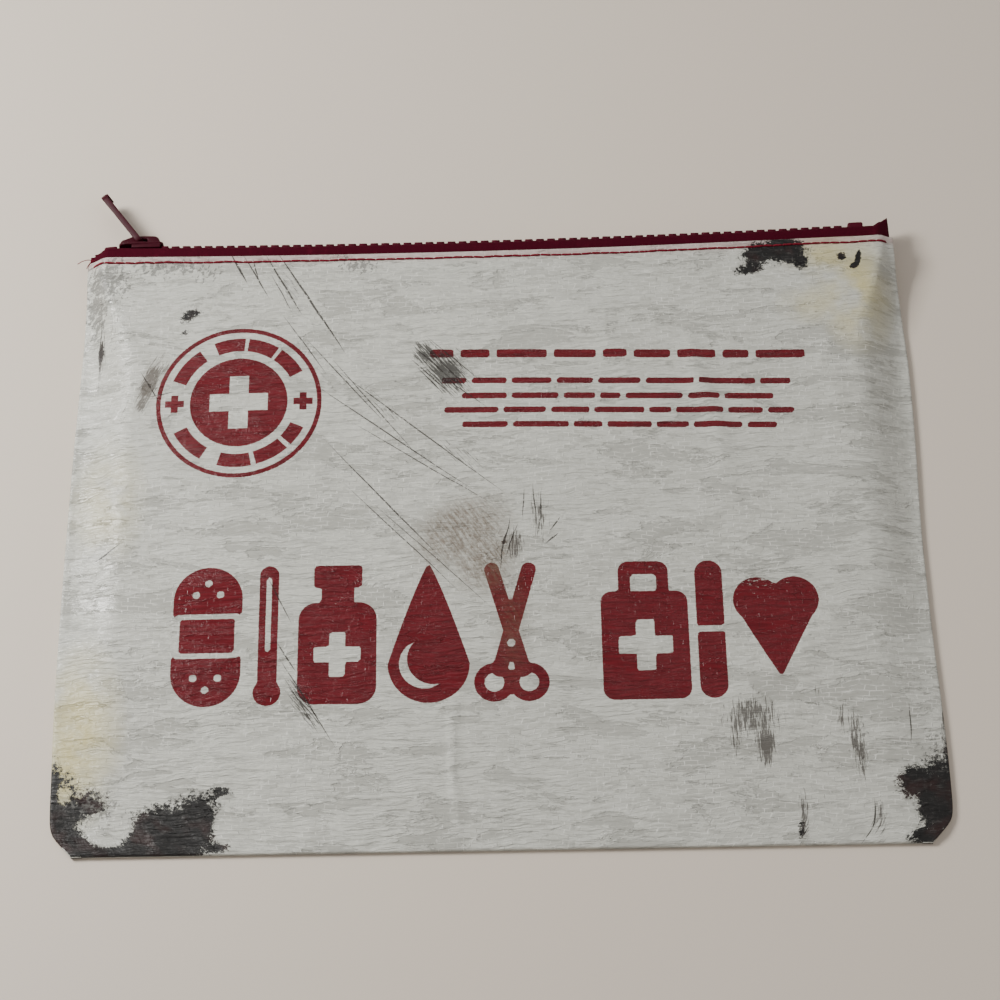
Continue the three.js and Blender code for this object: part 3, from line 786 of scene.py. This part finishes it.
# Each blob: its centre, half sizes, strength and, where it is turned, by how many degrees.
MARKS = {
    "soot": [
        (-119, -82, 6, 13, 1.25), (-116, -89, 10, 7, 1.3, -20), (-112, -79, 7, 6, 0.95, 30),
        (-106, -92, 16, 4, 1.1), (-90, -87, 14, 8.5, 1.3, 8), (-82, -84, 7, 9, 1.15),
        (-76, -74.5, 4, 2, 0.8), (-121, -76, 3, 11, 1.1), (-77, -90, 5, 2, 0.9), (-99, -84, 4, 3, 0.7),
        (-78, -76, 4, 3, 0.72), (-121, -72, 2, 6, 0.9), (118, -80, 6.5, 11, 1.3),
        (112, -75, 6, 5, 1.05, 25), (114, -90, 7, 3, 1, 10), (121, -70, 2, 8, 0.8),
        (108, -74, 3, 1.5, 0.8, 20), (87, 90, 7, 4.5, 1.25), (80, 89, 6, 4, 1.1, 20),
        (77, 84, 5, 2, 0.95, 14), (92, 86, 3, 3, 0.9), (104.5, 87.6, 1.4, 1, 1.5, -10),
        (109.4, 86.8, 0.8, 2.6, 1.4, -16), (108.4, 84.8, 1.8, 0.8, 1.4, 24), (-91, 71, 3, 2.2, 0.85, 20),
        (-88.6, 72.2, 2.2, 1.2, 0.85, 10), (-91.5, 65.6, 3, 1.3, 0.7, 24), (-117, 62, 0.9, 3.2, 1.2),
        (80, -88, 1.2, 3, 0.9), (1.8, -3.5, 0.7, 0.9, 1.1),
    ],
    "clear": [
        (-106, -84.5, 6, 3.6, 0.8, -6), (-118, -75.5, 1.8, 2.4, 0.8), (-74.5, -84, 2, 3, 0.6),
    ],
    "haze": [
        (-116, 84, 9, 9, 1), (-119, 76, 4, 12, 1), (-98, 88, 18, 4, 0.85), (-86, 86, 9, 5, 0.7),
        (-40, 87, 7, 3, 0.9), (-46, 90, 10, 2, 0.6), (-112, 66, 5, 8, 0.5), (118, -66, 4, 8, 0.7),
        (98, -64, 5, 9, 0.55), (-110, -78, 10, 8, 0.7), (96, 90, 10, 2, 0.6),
    ],
    "smoke": [
        (-10, 0, 12, 8, 1.2, 30), (-4, -8, 8, 9, 1.1), (4, -28, 5, 16, 0.5), (-101, 49, 3, 8, 0.5, -16),
    ],
    "streak": [
        (69, -56, 9, 6, 0.95), (72, -64, 3, 7, 1.1), (64, -62, 2, 7, 0.85), (97, -64, 2.5, 11, 0.95, 6),
        (93, -56, 1.5, 6, 0.8), (81, -84, 1.5, 8, 0.95), (101, -85, 2.5, 7, 0.8),
        (-116.6, 62, 0.9, 9, 1), (5, -4, 3, 6, 0.9), (12, 4, 3, 8, 0.8), (121, -61, 1.4, 8, 0.9),
        (88, -50, 3, 6, 0.5), (-90, 74, 8, 3, 0.5), (-112, 70, 4, 8, 0.55),
    ],
    "slant": [
        (-14, 51, 8, 6, 1, -50), (-20, 57, 5, 4, 0.9, -50), (-54, -50, 3, 10, 0.75, 30),
        (-32, 40, 10, 3, 0.5, -45), (-10, 24, 10, 4, 0.5, -38), (-62, 82, 9, 6, 0.5, -60),
    ],
    "rise": [
        (-101, 50, 2.6, 8, 1.1, -18), (-103, 43, 2, 4, 0.9, -18), (-97, 54, 2, 3, 0.7, -18),
        (-108, 40, 1.5, 4, 0.6, -18),
    ],
    "stain": [
        (-116, -58, 9, 18, 1), (-118, -70, 8, 8, 1), (-112, 12, 8, 14, 0.5), (108, 76, 8, 14, 0.95),
        (100, 88, 9, 6, 0.8), (96, 72, 8, 5, 0.5),
    ],
    "wear": [
        (-45, -18, 12, 10, 0.5), (20, -20, 10, 12, 0.5), (40, -14, 10, 8, 0.6), (72, -14, 10, 7, 1),
        (68, -40, 5, 12, 0.6), (-56, -44, 5, 12, 0.6), (0, -20, 8, 10, 0.6), (-86, 60, 10, 6, 0.3),
    ],
}


def blobs(x, y, name):
    """The strongest of some soft-edged ellipses, 1 at the middle of a full one."""
    value = np.zeros_like(x)
    for cx, cy, wide, high, strength, *turn in MARKS[name]:
        angle = math.radians(*turn or (0,))
        c, s = math.cos(angle), math.sin(angle)
        dx, dy = x - cx, y - cy
        reach = np.hypot((dx * c + dy * s) / wide, (dy * c - dx * s) / high)
        value = np.maximum(value, strength * np.clip(1.25 - 0.75 * reach, 0, 1))
    return value


# ---- The two panels ----


def lines_between(stops):
    """Places from the first stop to the last: each stop is (place, spacing up to the next)."""
    places = []
    for (start, spacing), (end, _) in zip(stops[:-1], stops[1:]):
        count = max(1, round((end - start) / spacing))
        places += list(np.linspace(start, end, count, endpoint=False))
    return np.array(places + [stops[-1][0]])


EDGE_ARC = math.pi * ROLL
OVERSHOOT = EDGE_ARC + SHOWN_TURN_IN


def around_edge(beyond):
    """Where a point of the cloth lies after it passes the edge: how far out, and how far down."""
    angle = np.clip(beyond / ROLL, 0, math.pi)
    out = ROLL * np.sin(angle) - np.maximum(0, beyond - EDGE_ARC)
    return out, ROLL * (1 - np.cos(angle))


def panel_points(across, along, height, inward):
    """A panel's outer face. Its edges roll over and come back inside, towards inward (-1 down, 1 up)."""
    v, u = np.meshgrid(along, across, indexing="ij")
    side_line, end_line = HALF_W - ROLL, TOP - ROLL
    side_out, side_drop = around_edge(np.maximum(0, np.abs(u) - side_line))
    end_out, end_drop = around_edge(np.maximum(0, np.abs(v) - end_line))
    y = np.sign(v) * (np.minimum(np.abs(v), end_line) + end_out)
    width = half_width(y) - ROLL
    x = np.sign(u) * (np.minimum(np.abs(u), side_line) * (width / side_line) + side_out)
    z = height(x, y) + inward * np.maximum(side_drop, end_drop)
    points = settle(np.stack([x, y, z], 2))
    return points, np.stack([u + points[..., 0] - x, v + points[..., 1] - y, 0 * u], 2)


def edge_stops(limit, middle):
    """Spacing that is fine round the rolled edges and as given by middle between them."""
    line = limit - ROLL
    return [(-line - OVERSHOOT, 0.75), (-line - EDGE_ARC, 0.26), (-line, 0.6), (-line + 3, middle[0][1]),
            *middle, (line - 3, 0.6), (line, 0.26), (line + EDGE_ARC, 0.75), (line + OVERSHOOT, 0)]


def make_front_panel():
    across = lines_between(edge_stops(HALF_W, [(-100.0, 1.0)]))
    print_rows = [(-80.0, 1.3), (-52.0, 0.85), (-8.0, 1.5), (16.0, 0.85), (30.0, 0.6), (60.0, 0.85),
                  (68.0, 1.4)]
    along = lines_between(edge_stops(TOP, print_rows))
    points, flat = panel_points(across, along, face_height, -1)
    obj = sheet_object("front_cloth", points, CLOTH)
    x, y = points[..., 0].ravel(), points[..., 1].ravel()
    set_attribute(obj, "flat", flat.reshape(-1, 3), vector=True)
    set_attribute(obj, "ink", np.clip(print_distance(x, y), -3, 3))
    for name in ("haze", "smoke", "streak", "slant", "rise", "stain", "wear"):
        set_attribute(obj, name, blobs(x, y, name))
    set_attribute(obj, "soot", blobs(x, y, "soot") - blobs(x, y, "clear"))
    inside = TOP - np.meshgrid(along, across, indexing="ij")[0].ravel()
    set_attribute(obj, "pink", np.exp(-(((inside - 1.2) / 1.4) ** 2)))
    return give(obj, cloth_material("printed_laminate", True), nodes=["front_panel"])


def back_height(x, y):
    """Underside of the back panel, whose creases stand up off the surface."""
    free = ease((HALF_W - np.abs(x)) / 10) * ease((TOP - np.abs(y)) / 12)
    return back_z(x, y) + 0.25 * free * np.clip(fractal(x, y, 40, 61, 3), 0, 1)


def make_back_panel():
    across = lines_between(edge_stops(HALF_W, [(-100.0, 2.0)]))
    along = lines_between(edge_stops(TOP, [(-80.0, 2.0)]))
    points, flat = panel_points(across, along, back_height, 1)
    points, flat = points[:, ::-1], flat[:, ::-1]
    obj = sheet_object("back_cloth", points, CLOTH)
    set_attribute(obj, "flat", flat.reshape(-1, 3), vector=True)
    return give(obj, cloth_material("plain_laminate", False), nodes=["back_panel"])


# ---- The zip ----


def chain_z(x):
    return CHAIN_Z + np.where(x > 0, RIGHT_LIFT, 0) * towards_side(x, END_RUN)


def end_shift(x):
    t = np.maximum(0, np.abs(x) - (HALF_W - END_RUN)) / END_RUN
    return np.where(x < 0, -LEFT_DIP * ease(t), RIGHT_FLARE * t)


def make_tape(name, side, nodes):
    """One tape: from the teeth round a bend, then down inside the folded cloth."""
    x = lines_between([(-HALF_W + 0.3, 0.6), (-HALF_W + 12, 1.6), (HALF_W - 12, 0.6), (HALF_W - 0.8, 0)])
    angles = np.radians(np.linspace(0, 90, 9))
    thin = END_THIN * towards_side(x, END_RUN)
    radius = TAPE_BEND + TAPE / 2
    profile = []
    for angle in angles:
        high = np.maximum(WALL - TAPE_BEND - thin + radius * math.sin(angle), 0.4)
        out = CHAIN_Y - TAPE_BEND + radius * math.cos(angle) + end_shift(x)
        profile.append(np.stack([x, out, chain_z(x) + side * high], 1))
    inset = 2 * CLOTH + LAYER_GAP
    for y in (TOP, TOP - 2.5, TOP - 5, TOP - TAPE_FLAP):
        place = np.full_like(x, y)
        cloth = front_z(x, place) - inset if side > 0 else back_z(x, place) + inset
        profile.append(np.stack([x, place, cloth], 1))
    points = np.array(profile)
    if side > 0:
        points = points[::-1]
    points = settle(points)
    obj = sheet_object(name, points, TAPE)
    steps = np.linalg.norm(np.diff(points, axis=0), axis=2)
    run = np.concatenate([np.zeros((1, len(x))), np.cumsum(steps, axis=0)])
    flat = np.stack([points[..., 0], run, 0 * run], 2)
    set_attribute(obj, "flat", flat.reshape(-1, 3), vector=True)
    return give(obj, TAPE_LOOK, nodes=nodes)


def tube(path, radius, sides):
    """Points and faces of a round tube along a path."""
    path = np.asarray(path, float)
    tangent = np.gradient(path, axis=0)
    tangent /= np.linalg.norm(tangent, axis=1, keepdims=True)
    guide = np.array([0, 0, 1.0]) if abs(tangent[0][2]) < 0.9 else np.array([0, 1.0, 0])
    left = np.cross(guide, tangent)
    left /= np.linalg.norm(left, axis=1, keepdims=True)
    up = np.cross(tangent, left)
    turn = np.linspace(0, 2 * math.pi, sides, endpoint=False)
    radius = np.broadcast_to(radius, len(path))[:, None, None]
    ring = np.cos(turn)[None, :, None] * left[:, None] + np.sin(turn)[None, :, None] * up[:, None]
    points = path[:, None] + radius * ring
    caps = [tuple(range(sides - 1, -1, -1)), tuple(range((len(path) - 1) * sides, len(path) * sides))]
    return points.reshape(-1, 3), walls(len(path), sides) + caps


def walls(levels, sides):
    """Quads between rings of points, each ring numbered after the last."""
    faces = []
    for low in range(0, (levels - 1) * sides, sides):
        high = low + sides
        for j in range(sides):
            k = (j + 1) % sides
            faces.append((low + j, low + k, high + k, high + j))
    return faces


class Batch:
    """Many small solids gathered into one mesh."""

    def __init__(self):
        self.points, self.faces, self.flat, self.count = [], [], [], 0

    def add(self, points, faces, flat=None):
        points = np.asarray(points, float)
        self.points.append(points)
        self.faces += [tuple(i + self.count for i in face) for face in faces]
        self.flat.append(points if flat is None else flat)
        self.count += len(points)

    def add_tube(self, path, radius, sides, around):
        """A tube whose flat coordinates run along X and, by this much in all, around it."""
        points, faces = tube(path, radius, sides)
        turn = np.tile(np.linspace(0, around, sides, endpoint=False), len(path))
        self.add(points, faces, np.stack([points[:, 0], turn, 0 * turn], 1))

    def add_upright(self, outline, levels, place=(0, 0, 0)):
        """A prism drawn in (x, z) and raised along Y."""
        points, faces = prism(outline, levels)
        self.add(along_y(points) + place, turned(faces))

    def object(self, name):
        obj = add_object(name, np.concatenate(self.points), self.faces)
        set_attribute(obj, "flat", np.concatenate(self.flat), vector=True)
        return obj


def prism(outline, levels):
    """A solid with the same outline at every level, drawn in by its own amount at each: [(height, inset)]."""
    outline = np.asarray(outline, float)
    before, after = np.roll(outline, 1, 0), np.roll(outline, -1, 0)
    e0, e1 = outline - before, after - outline
    n0 = np.stack([e0[:, 1], -e0[:, 0]], 1) / np.linalg.norm(e0, axis=1, keepdims=True)
    n1 = np.stack([e1[:, 1], -e1[:, 0]], 1) / np.linalg.norm(e1, axis=1, keepdims=True)
    out = (n0 + n1) / (1 + np.sum(n0 * n1, axis=1, keepdims=True))
    n = len(outline)
    points = np.concatenate([
        np.column_stack([outline - out * inset, np.full(n, height)]) for height, inset in levels
    ])
    caps = [tuple(range(n - 1, -1, -1)), tuple(range(len(points) - n, len(points)))]
    return points, caps + walls(len(levels), n)


def along_y(points):
    """A prism drawn in (x, h) and raised in its third coordinate, laid so that this points along Y."""
    return np.stack([points[:, 0], points[:, 2], points[:, 1]], 1)


def turned(faces):
    return [face[::-1] for face in faces]


TOOTH_TOP = 1.4
TOOTH_LEVELS = [(-TOOTH_TOP, 0.2), (-TOOTH_TOP + 0.07, 0.07), (-TOOTH_TOP + 0.2, 0),
                (TOOTH_TOP - 0.2, 0), (TOOTH_TOP - 0.07, 0.07), (TOOTH_TOP, 0.2)]
TEETH = 64
FIRST_TOOTH = CHAIN_START + TOOTH_ROOM


def tooth_outline():
    """A moulded tooth from its clasping root (above) to its rounded head (below)."""
    right = [(0.62, -0.95), (0.72, -0.5), (0.6, 0.1), (0.5, 0.75), (0.62, 1.15), (1.05, 1.3), (1.2, 1.6),
             (1.24, 2.5), (1.12, 2.9)]
    left = [(-x, h) for x, h in reversed(right)]
    return right + left


def make_teeth(name, side, first, count, nodes):
    batch = Batch()
    points, faces = prism(tooth_outline(), TOOTH_LEVELS)
    shape = along_y(points) * (1, 1, side)
    faces = turned(faces) if side > 0 else faces
    jitter = np.random.default_rng(20 + side)
    for n in range(count):
        move = (first + n * PITCH, CHAIN_Y + jitter.uniform(-0.04, 0.04), CHAIN_Z)
        batch.add(shape + settle([move])[0], faces)
    give(batch.object(name), TOOTH_LOOK, nodes=nodes)


def make_bead(name, side):
    """The thick edge of the tape, which the teeth clasp."""
    x = np.arange(-HALF_W + 1.2, HALF_W - 2.6, 1.0)
    thin = END_THIN * towards_side(x, END_RUN)
    high = np.maximum(2.35 - thin, 0.55)
    path = settle(np.stack([x, CHAIN_Y + 0.15 + end_shift(x), chain_z(x) + side * high], 1))
    batch = Batch()
    batch.add_tube(path, 0.72 - 0.1 * towards_side(x, END_RUN), 14, around=4.5)
    give(batch.object(name), TAPE_LOOK)


def rounded(outline, radius, steps=4):
    """The outline with each corner replaced by an arc."""
    outline = [np.array(p, float) for p in outline]
    result = []
    for i, corner in enumerate(outline):
        before, after = outline[i - 1], outline[(i + 1) % len(outline)]
        a, b = before - corner, after - corner
        la, lb = np.linalg.norm(a), np.linalg.norm(b)
        reach = min(radius, 0.45 * la, 0.45 * lb)
        start, end = corner + a / la * reach, corner + b / lb * reach
        for t in np.linspace(0, 1, steps + 1):
            result.append(tuple((1 - t) ** 2 * start + 2 * t * (1 - t) * corner + t * t * end))
    return result


def bevelled(low, high, bevel, steps=3):
    """Levels of a prism whose two ends are rounded over."""
    levels = []
    for n in range(steps + 1):
        angle = math.pi / 2 * n / steps
        levels.append((low + bevel * (1 - math.cos(angle)), bevel * (1 - math.sin(angle))))
    return levels + [(high + low - height, inset) for height, inset in reversed(levels)]


def make_stops():
    low, high = cad_box("front_top_stop")
    stop_points = rounded([(0, 0), (high[0] - low[0], 0), (high[0] - low[0], 2.4), (0, 2.4)], 0.5)
    for name, side in (("front_top_stop", 1), ("back_top_stop", -1)):
        batch = Batch()
        points, faces = prism(stop_points, bevelled(-1.35, 1.35, 0.3))
        shape = along_y(points)
        x = shape[:, 0] + low[0]
        thin = END_THIN * towards_side(x, END_RUN)
        shape = np.stack([x, CHAIN_Y + shape[:, 1] + end_shift(x), shape[:, 2] + 0.55 - 0.8 * thin], 1)
        shape[:, 2] = chain_z(x) + side * np.maximum(shape[:, 2], 0.12)
        batch.add(settle(shape), turned(faces) if side > 0 else faces)
        give(batch.object(name + "_moulded"), TOOTH_LOOK, nodes=[name])
    low, high = cad_box("bottom_stop")
    batch = Batch()
    outline = rounded([(low[0], -2.9), (high[0], -2.9), (high[0], 2.9), (low[0], 2.9)], 0.7)
    points, faces = prism(outline, bevelled(-TOOTH_TOP, TOOTH_TOP + STOP_RISE, 0.45))
    shape = along_y(points) + (0, CHAIN_Y, CHAIN_Z)
    batch.add(settle(shape), turned(faces))
    give(batch.object("bottom_stop_moulded"), TOOTH_LOOK, nodes=["bottom_stop"])


# ---- Slider, crown and pull tab ----


def make_slider():
    """Two plates joined by a neck, with flanges that guide the two rows."""
    long = SLIDER_HALF
    middle = (SLIDER_X, CHAIN_Y, CHAIN_Z)
    batch = Batch()
    for half, low, high in ((3.9, PLATE_TOP - PLATE_THICK, PLATE_TOP),
                            (3.45, -PLATE_TOP, PLATE_THICK - PLATE_TOP)):
        outline = rounded([(-long, -half + 1.5), (-long + 1.5, -half), (0, -half), (long, -half + 0.5),
                           (long, half - 0.5), (0, half), (-long + 1.5, half), (-long, half - 1.5)], 1.2)
        points, faces = prism(outline, bevelled(low, high, 0.28))
        # both ends of a plate turn away from the zip a little
        end = np.maximum(0, np.abs(points[:, 0]) - long + 2.2) / 2.2
        points[:, 2] += np.sign(low + high) * 0.28 * end**2
        batch.add(along_y(points) + middle, turned(faces))
    boss = rounded([(-long + 0.5, -1.4), (long - 0.6, -1.4), (long - 0.6, 1.4), (-long + 0.5, 1.4)], 1.1)
    batch.add_upright(boss, bevelled(PLATE_TOP - 0.5, PLATE_TOP + 0.75, 0.6), middle)
    neck = rounded([(-long + 0.3, -0.9), (-long + 1.4, -1.5), (-long + 3.4, -0.2), (-long + 3.4, 0.2),
                    (-long + 1.4, 1.5), (-long + 0.3, 0.9)], 0.4)
    batch.add_upright(neck, [(-1.7, 0), (1.7, 0)], middle)
    for side in (-1, 1):
        for start, end, low, high, inner, outer in ((-2.6, long - 0.7, 0.4, 1.75, 3.0, 3.7),
                                                    (-4.6, 0.6, -1.75, -0.85, 3.0, 3.42)):
            near, far = sorted((side * inner, side * outer))
            flange = rounded([(start, near), (end, near), (end, far), (start, far)], 0.3)
            batch.add_upright(flange, bevelled(low, high, 0.16, 2), middle)
    give(batch.object("slider_plates"), SLIDER_LOOK, body="slider", nodes=["slider_body"])


def curve_solid(name, loops, half_depth, bevel):
    """A plate with holes: a filled flat curve, given its depth and rounded edges, and made a mesh."""
    curve = bpy.data.curves.new(name, "CURVE")
    curve.dimensions = "2D"
    curve.fill_mode = "BOTH"
    curve.extrude = (half_depth - bevel) * MM
    curve.bevel_depth = bevel * MM
    curve.bevel_resolution = 3
    curve.offset = -bevel * MM
    for loop in loops:
        spline = curve.splines.new("POLY")
        spline.points.add(len(loop) - 1)
        for point, (x, y) in zip(spline.points, loop):
            point.co = (x * MM, y * MM, 0, 1)
        spline.use_cyclic_u = True
    holder = link(name, curve)
    bpy.context.view_layer.update()
    mesh = bpy.data.meshes.new_from_object(holder.evaluated_get(bpy.context.evaluated_depsgraph_get()))
    bpy.data.objects.remove(holder)
    mesh.name = name
    return link(name, mesh)


def soften(obj, angle=40):
    """Smooth shading that keeps the edges sharper than the angle."""
    bm = bmesh.new()
    bm.from_mesh(obj.data)
    bmesh.ops.remove_doubles(bm, verts=bm.verts, dist=1e-6)
    bm.to_mesh(obj.data)
    bm.free()
    obj.data.shade_smooth()
    obj.data.set_sharp_from_angle(angle=math.radians(angle))


PIVOT = next(j for j in frame["joints"] if j["name"] == "pull_tab_swing")["pos_m"]
PULL_ANGLE = 126
TAB_TWIST = -13  # the loose tab leans over in its pin


def make_crown():
    """An arched cover with a slot through it for the pull tab's pin."""
    low, high = cad_box("slider_crown")
    a, b, h = low[0] - SLIDER_X, high[0] - SLIDER_X, high[1] - low[1]
    outline = rounded([(a - 1.2, 0), (b, 0), (b - 0.2, 1.0), (b - 1.0, h - 0.5), (b - 2.0, h + 0.1),
                       (0.5, h + 0.2), (a + 2.4, h + 0.1), (a + 0.6, h - 0.8), (a - 1.1, h - 1.5)], 1.1)
    slot = rounded([(-1.6, 1.3), (1.7, 1.3), (1.7, 2.45), (-1.6, 2.45)], 0.6)
    obj = curve_solid("slider_crown_cover", [outline, slot], (high[2] - low[2]) / 2, 0.4)
    obj.data.transform(Matrix.Translation(Vector((SLIDER_X, low[1], CHAIN_Z)) * MM))
    soften(obj)
    give(obj, SLIDER_LOOK, body="slider", nodes=["slider_crown"])


def make_pull_tab():
    """Drawn along +X from its pin, then stood up at its angle."""
    length, wide, slot = 21.2, 6.0, 3.5
    outline = rounded([(-0.6, -wide / 2 + 0.4), (0.9, -wide / 2), (9, -wide / 2 + 0.5),
                       (length - 2, -wide / 2),
                       (length, -wide / 2 + 1.8), (length, wide / 2 - 1.8), (length - 2, wide / 2),
                       (9, wide / 2 - 0.5), (0.9, wide / 2), (-0.6, wide / 2 - 0.4)], 1.6)
    opening = rounded([(0.55, -slot / 2), (7.8, -slot / 2), (7.8, slot / 2), (0.55, slot / 2)], 0.9)
    obj = curve_solid("pull_tab_cast", [outline, opening], 0.92, 0.25)
    parts = Batch()
    lip = rounded([(length - 2.4, -2.2), (length - 0.6, -2.0), (length - 0.6, 2.0), (length - 2.4, 2.2)], 0.7)
    parts.add(*prism(lip, bevelled(0.4, 1.4, 0.3)))
    parts.add(*prism(lip, bevelled(-1.0, -0.4, 0.15)))
    pin = [(0, y, 0) for y in np.linspace(-slot / 2 - 0.6, slot / 2 + 0.6, 9)]
    parts.add(*tube(pin, 0.42, sides=16))
    join_into(obj, parts.object("pull_tab_parts"))
    # the tab's width runs through the pouch; its thickness is seen edge-on from the front
    upright = Matrix.Rotation(math.radians(90 + TAB_TWIST), 4, "X")
    stand = Matrix.Rotation(math.radians(PULL_ANGLE), 4, "Z") @ upright
    obj.data.transform(Matrix.Translation(PIVOT) @ stand)
    soften(obj)
    give(obj, SLIDER_LOOK, body="pull", nodes=["pull_tab"])


def join_into(obj, other):
    """Adds the other object's mesh to obj."""
    bm = bmesh.new()
    bm.from_mesh(obj.data)
    bm.from_mesh(other.data)
    bm.to_mesh(obj.data)
    bm.free()
    bpy.data.objects.remove(other)


# ---- Sewing ----


def add_stitch(batch, start, end, surface, radius):
    """One stitch that rises from its hole, lies on the cloth and goes down again."""
    t = np.linspace(0, 1, 9)
    line = start[None] * (1 - t[:, None]) + end[None] * t[:, None]
    over = surface(line[:, 0], line[:, 1])
    rise = radius * 0.7 - 1.3 * radius * np.maximum(0, np.abs(2 * t - 1) - 0.8) / 0.2
    path = settle(np.stack([line[:, 0], line[:, 1], over + rise], 1))
    batch.add_tube(path, radius * (1 - 0.25 * np.abs(2 * t - 1) ** 4), 8, around=2)


def sew(batch, name, node):
    give(batch.object(name), THREAD_LOOK, nodes=[node])


def make_front_stitching():
    batch = Batch()
    wobble = np.random.default_rng(5)
    y = TOP - TOPSTITCH_IN
    x = -HALF_W + 1.6
    last = np.array([x, y])
    while x < HALF_W - 2.2:
        x += STITCH * wobble.uniform(0.9, 1.1)
        here = np.array([min(x, HALF_W - 1.0), y + wobble.uniform(-0.16, 0.16)])
        add_stitch(batch, last, here, face_height, 0.32)
        last = here
    # two loose ends at the left of the zip
    for lift, drop, out in ((0.6, -2.6, -1.6), (1.2, -1.0, -3.4)):
        t = np.linspace(0, 1, 14)[:, None]
        start = np.array([-HALF_W + 1.4, TOP + 0.6, CHAIN_Z + 1.5])
        bend = start + (out * 0.5, lift, 0.6)
        end = start + (out, drop, 0.2)
        path = (1 - t) ** 2 * start + 2 * t * (1 - t) * bend + t * t * end
        batch.add(*tube(settle(path), 0.13, sides=6))
    sew(batch, "front_topstitches", "front_topstitch")


def make_back_stitching():
    batch = Batch()
    y = TOP - TOPSTITCH_IN
    for x in np.arange(-HALF_W + 2, HALF_W - 4, STITCH):
        start, end = np.array([x + 0.2, y]), np.array([x + STITCH - 0.2, y])
        add_stitch(batch, start, end, lambda a, b: back_z(a, b) - 0.16, 0.12)
    sew(batch, "back_topstitches", "back_topstitch")


def make_seam_stitching():
    """Lockstitches inside the three turned seams, close to the edge."""
    radius, spacing, inset = 0.16, 2.8, 0.9

    def seam(name, path, node):
        batch = Batch()
        for a, b in zip(path[:-1], path[1:]):
            a, b = np.array(a), np.array(b)
            count = max(1, round(np.linalg.norm(b - a) / spacing))
            for n in range(count):
                start, end = a + (b - a) * (n + 0.06) / count, a + (b - a) * (n + 0.94) / count
                add_stitch(batch, start, end, lambda x, y: back_z(x, y) + SEAM_Z / 2 - 0.12, radius)
        sew(batch, name, node)

    side, low, up = HALF_W - inset, BOTTOM + inset, BOTTOM + CORNER_CUT + 4
    seam("left_seam_stitches", [(-side, up), (-side, TOP - 14)], "left_seam_thread")
    seam("right_seam_stitches", [(side, up), (side, TOP - 14)], "right_seam_thread")
    cut_in = CORNER_CUT - 0.4 * inset
    corner = [(-side, up), (-side, low + cut_in), (-side + cut_in, low)]
    seam("bottom_seam_stitches", corner + [(-x, y) for x, y in reversed(corner)], "bottom_seam_thread")


# ---- Stage ----


def make_floor():
    floor = add_object("floor", [(-2500, -2500, 0), (2500, -2500, 0), (2500, 2500, 0), (-2500, 2500, 0)],
                       [(0, 1, 2, 3)])
    g = Graph("pale_floor", Base_Color=(0.69, 0.61, 0.525), Roughness=0.5)
    floor.data.materials.append(g.material)


def add_light(name, place, target, size, power, color):
    light = bpy.data.lights.new(name, "AREA")
    light.shape = "RECTANGLE"
    light.size, light.size_y = size
    light.energy = power
    light.color = color
    obj = link(name, light)
    obj.location = place
    obj.rotation_euler = (Vector(target) - Vector(place)).to_track_quat("-Z", "Y").to_euler()


def make_lights():
    add_light("key", (-0.56, 0.2, 0.5), (-0.04, 0, 0), (0.26, 0.26), 7.7, (1, 0.985, 0.95))
    add_light("window", (-0.3, 1.1, 1.0), (0, 0, 0), (1.2, 0.4), 2.2, (0.97, 0.985, 1))
    add_light("fill", (0.8, -0.25, 1.05), (0.05, 0, 0), (1.0, 1.0), 3.0, (1, 0.97, 0.93))
    world = bpy.data.worlds.new("soft_room")
    world.use_nodes = True
    sky = world.node_tree.nodes["Background"]
    sky.inputs["Color"].default_value = (0.97, 0.93, 0.89, 1)
    sky.inputs["Strength"].default_value = 0.3
    bpy.context.scene.world = world


def make_camera():
    """Above the pouch and a little in front of it, as in a hand-held picture of a table top."""
    camera = bpy.data.cameras.new("camera")
    camera.sensor_width = 36
    camera.lens = 76.1
    obj = link("camera", camera)
    look = Vector((-0.0051, 0.4511, -0.8925)).normalized()
    up = Vector((0.0184, 0.8924, 0.4509))
    right = look.cross(up).normalized()
    up = right.cross(look)
    turn = Matrix((right, up, -look)).transposed().to_4x4()
    obj.matrix_world = Matrix.Translation((0.0041, -0.2623, 0.5444)) @ turn
    bpy.context.scene.camera = obj


TAPE_LOOK = tape_material()
TOOTH_LOOK = moulded_material("tooth_acetal", (0.066, 0.0016, 0.0115), 0.5)
SLIDER_LOOK = moulded_material("slider_enamel", (0.042, 0.0011, 0.0075), 0.45)
THREAD_LOOK = thread_material("polyester_thread", (0.24, 0.004, 0.022))

make_camera()
make_lights()
make_floor()
front = make_front_panel()
back = make_back_panel()
front_tape = make_tape("front_tape", 1, ["front_zip_tape"])
back_tape = make_tape("back_tape", -1, ["back_zip_tape"])
make_teeth("front_teeth", 1, FIRST_TOOTH, TEETH, ["front_tooth_row"])
make_teeth("back_teeth", -1, FIRST_TOOTH + PITCH / 2, TEETH - 1, ["back_tooth_row"])
make_bead("front_tape_bead", 1)
make_bead("back_tape_bead", -1)
make_stops()
make_slider()
make_crown()
make_pull_tab()
make_front_stitching()
make_back_stitching()
make_seam_stitching()
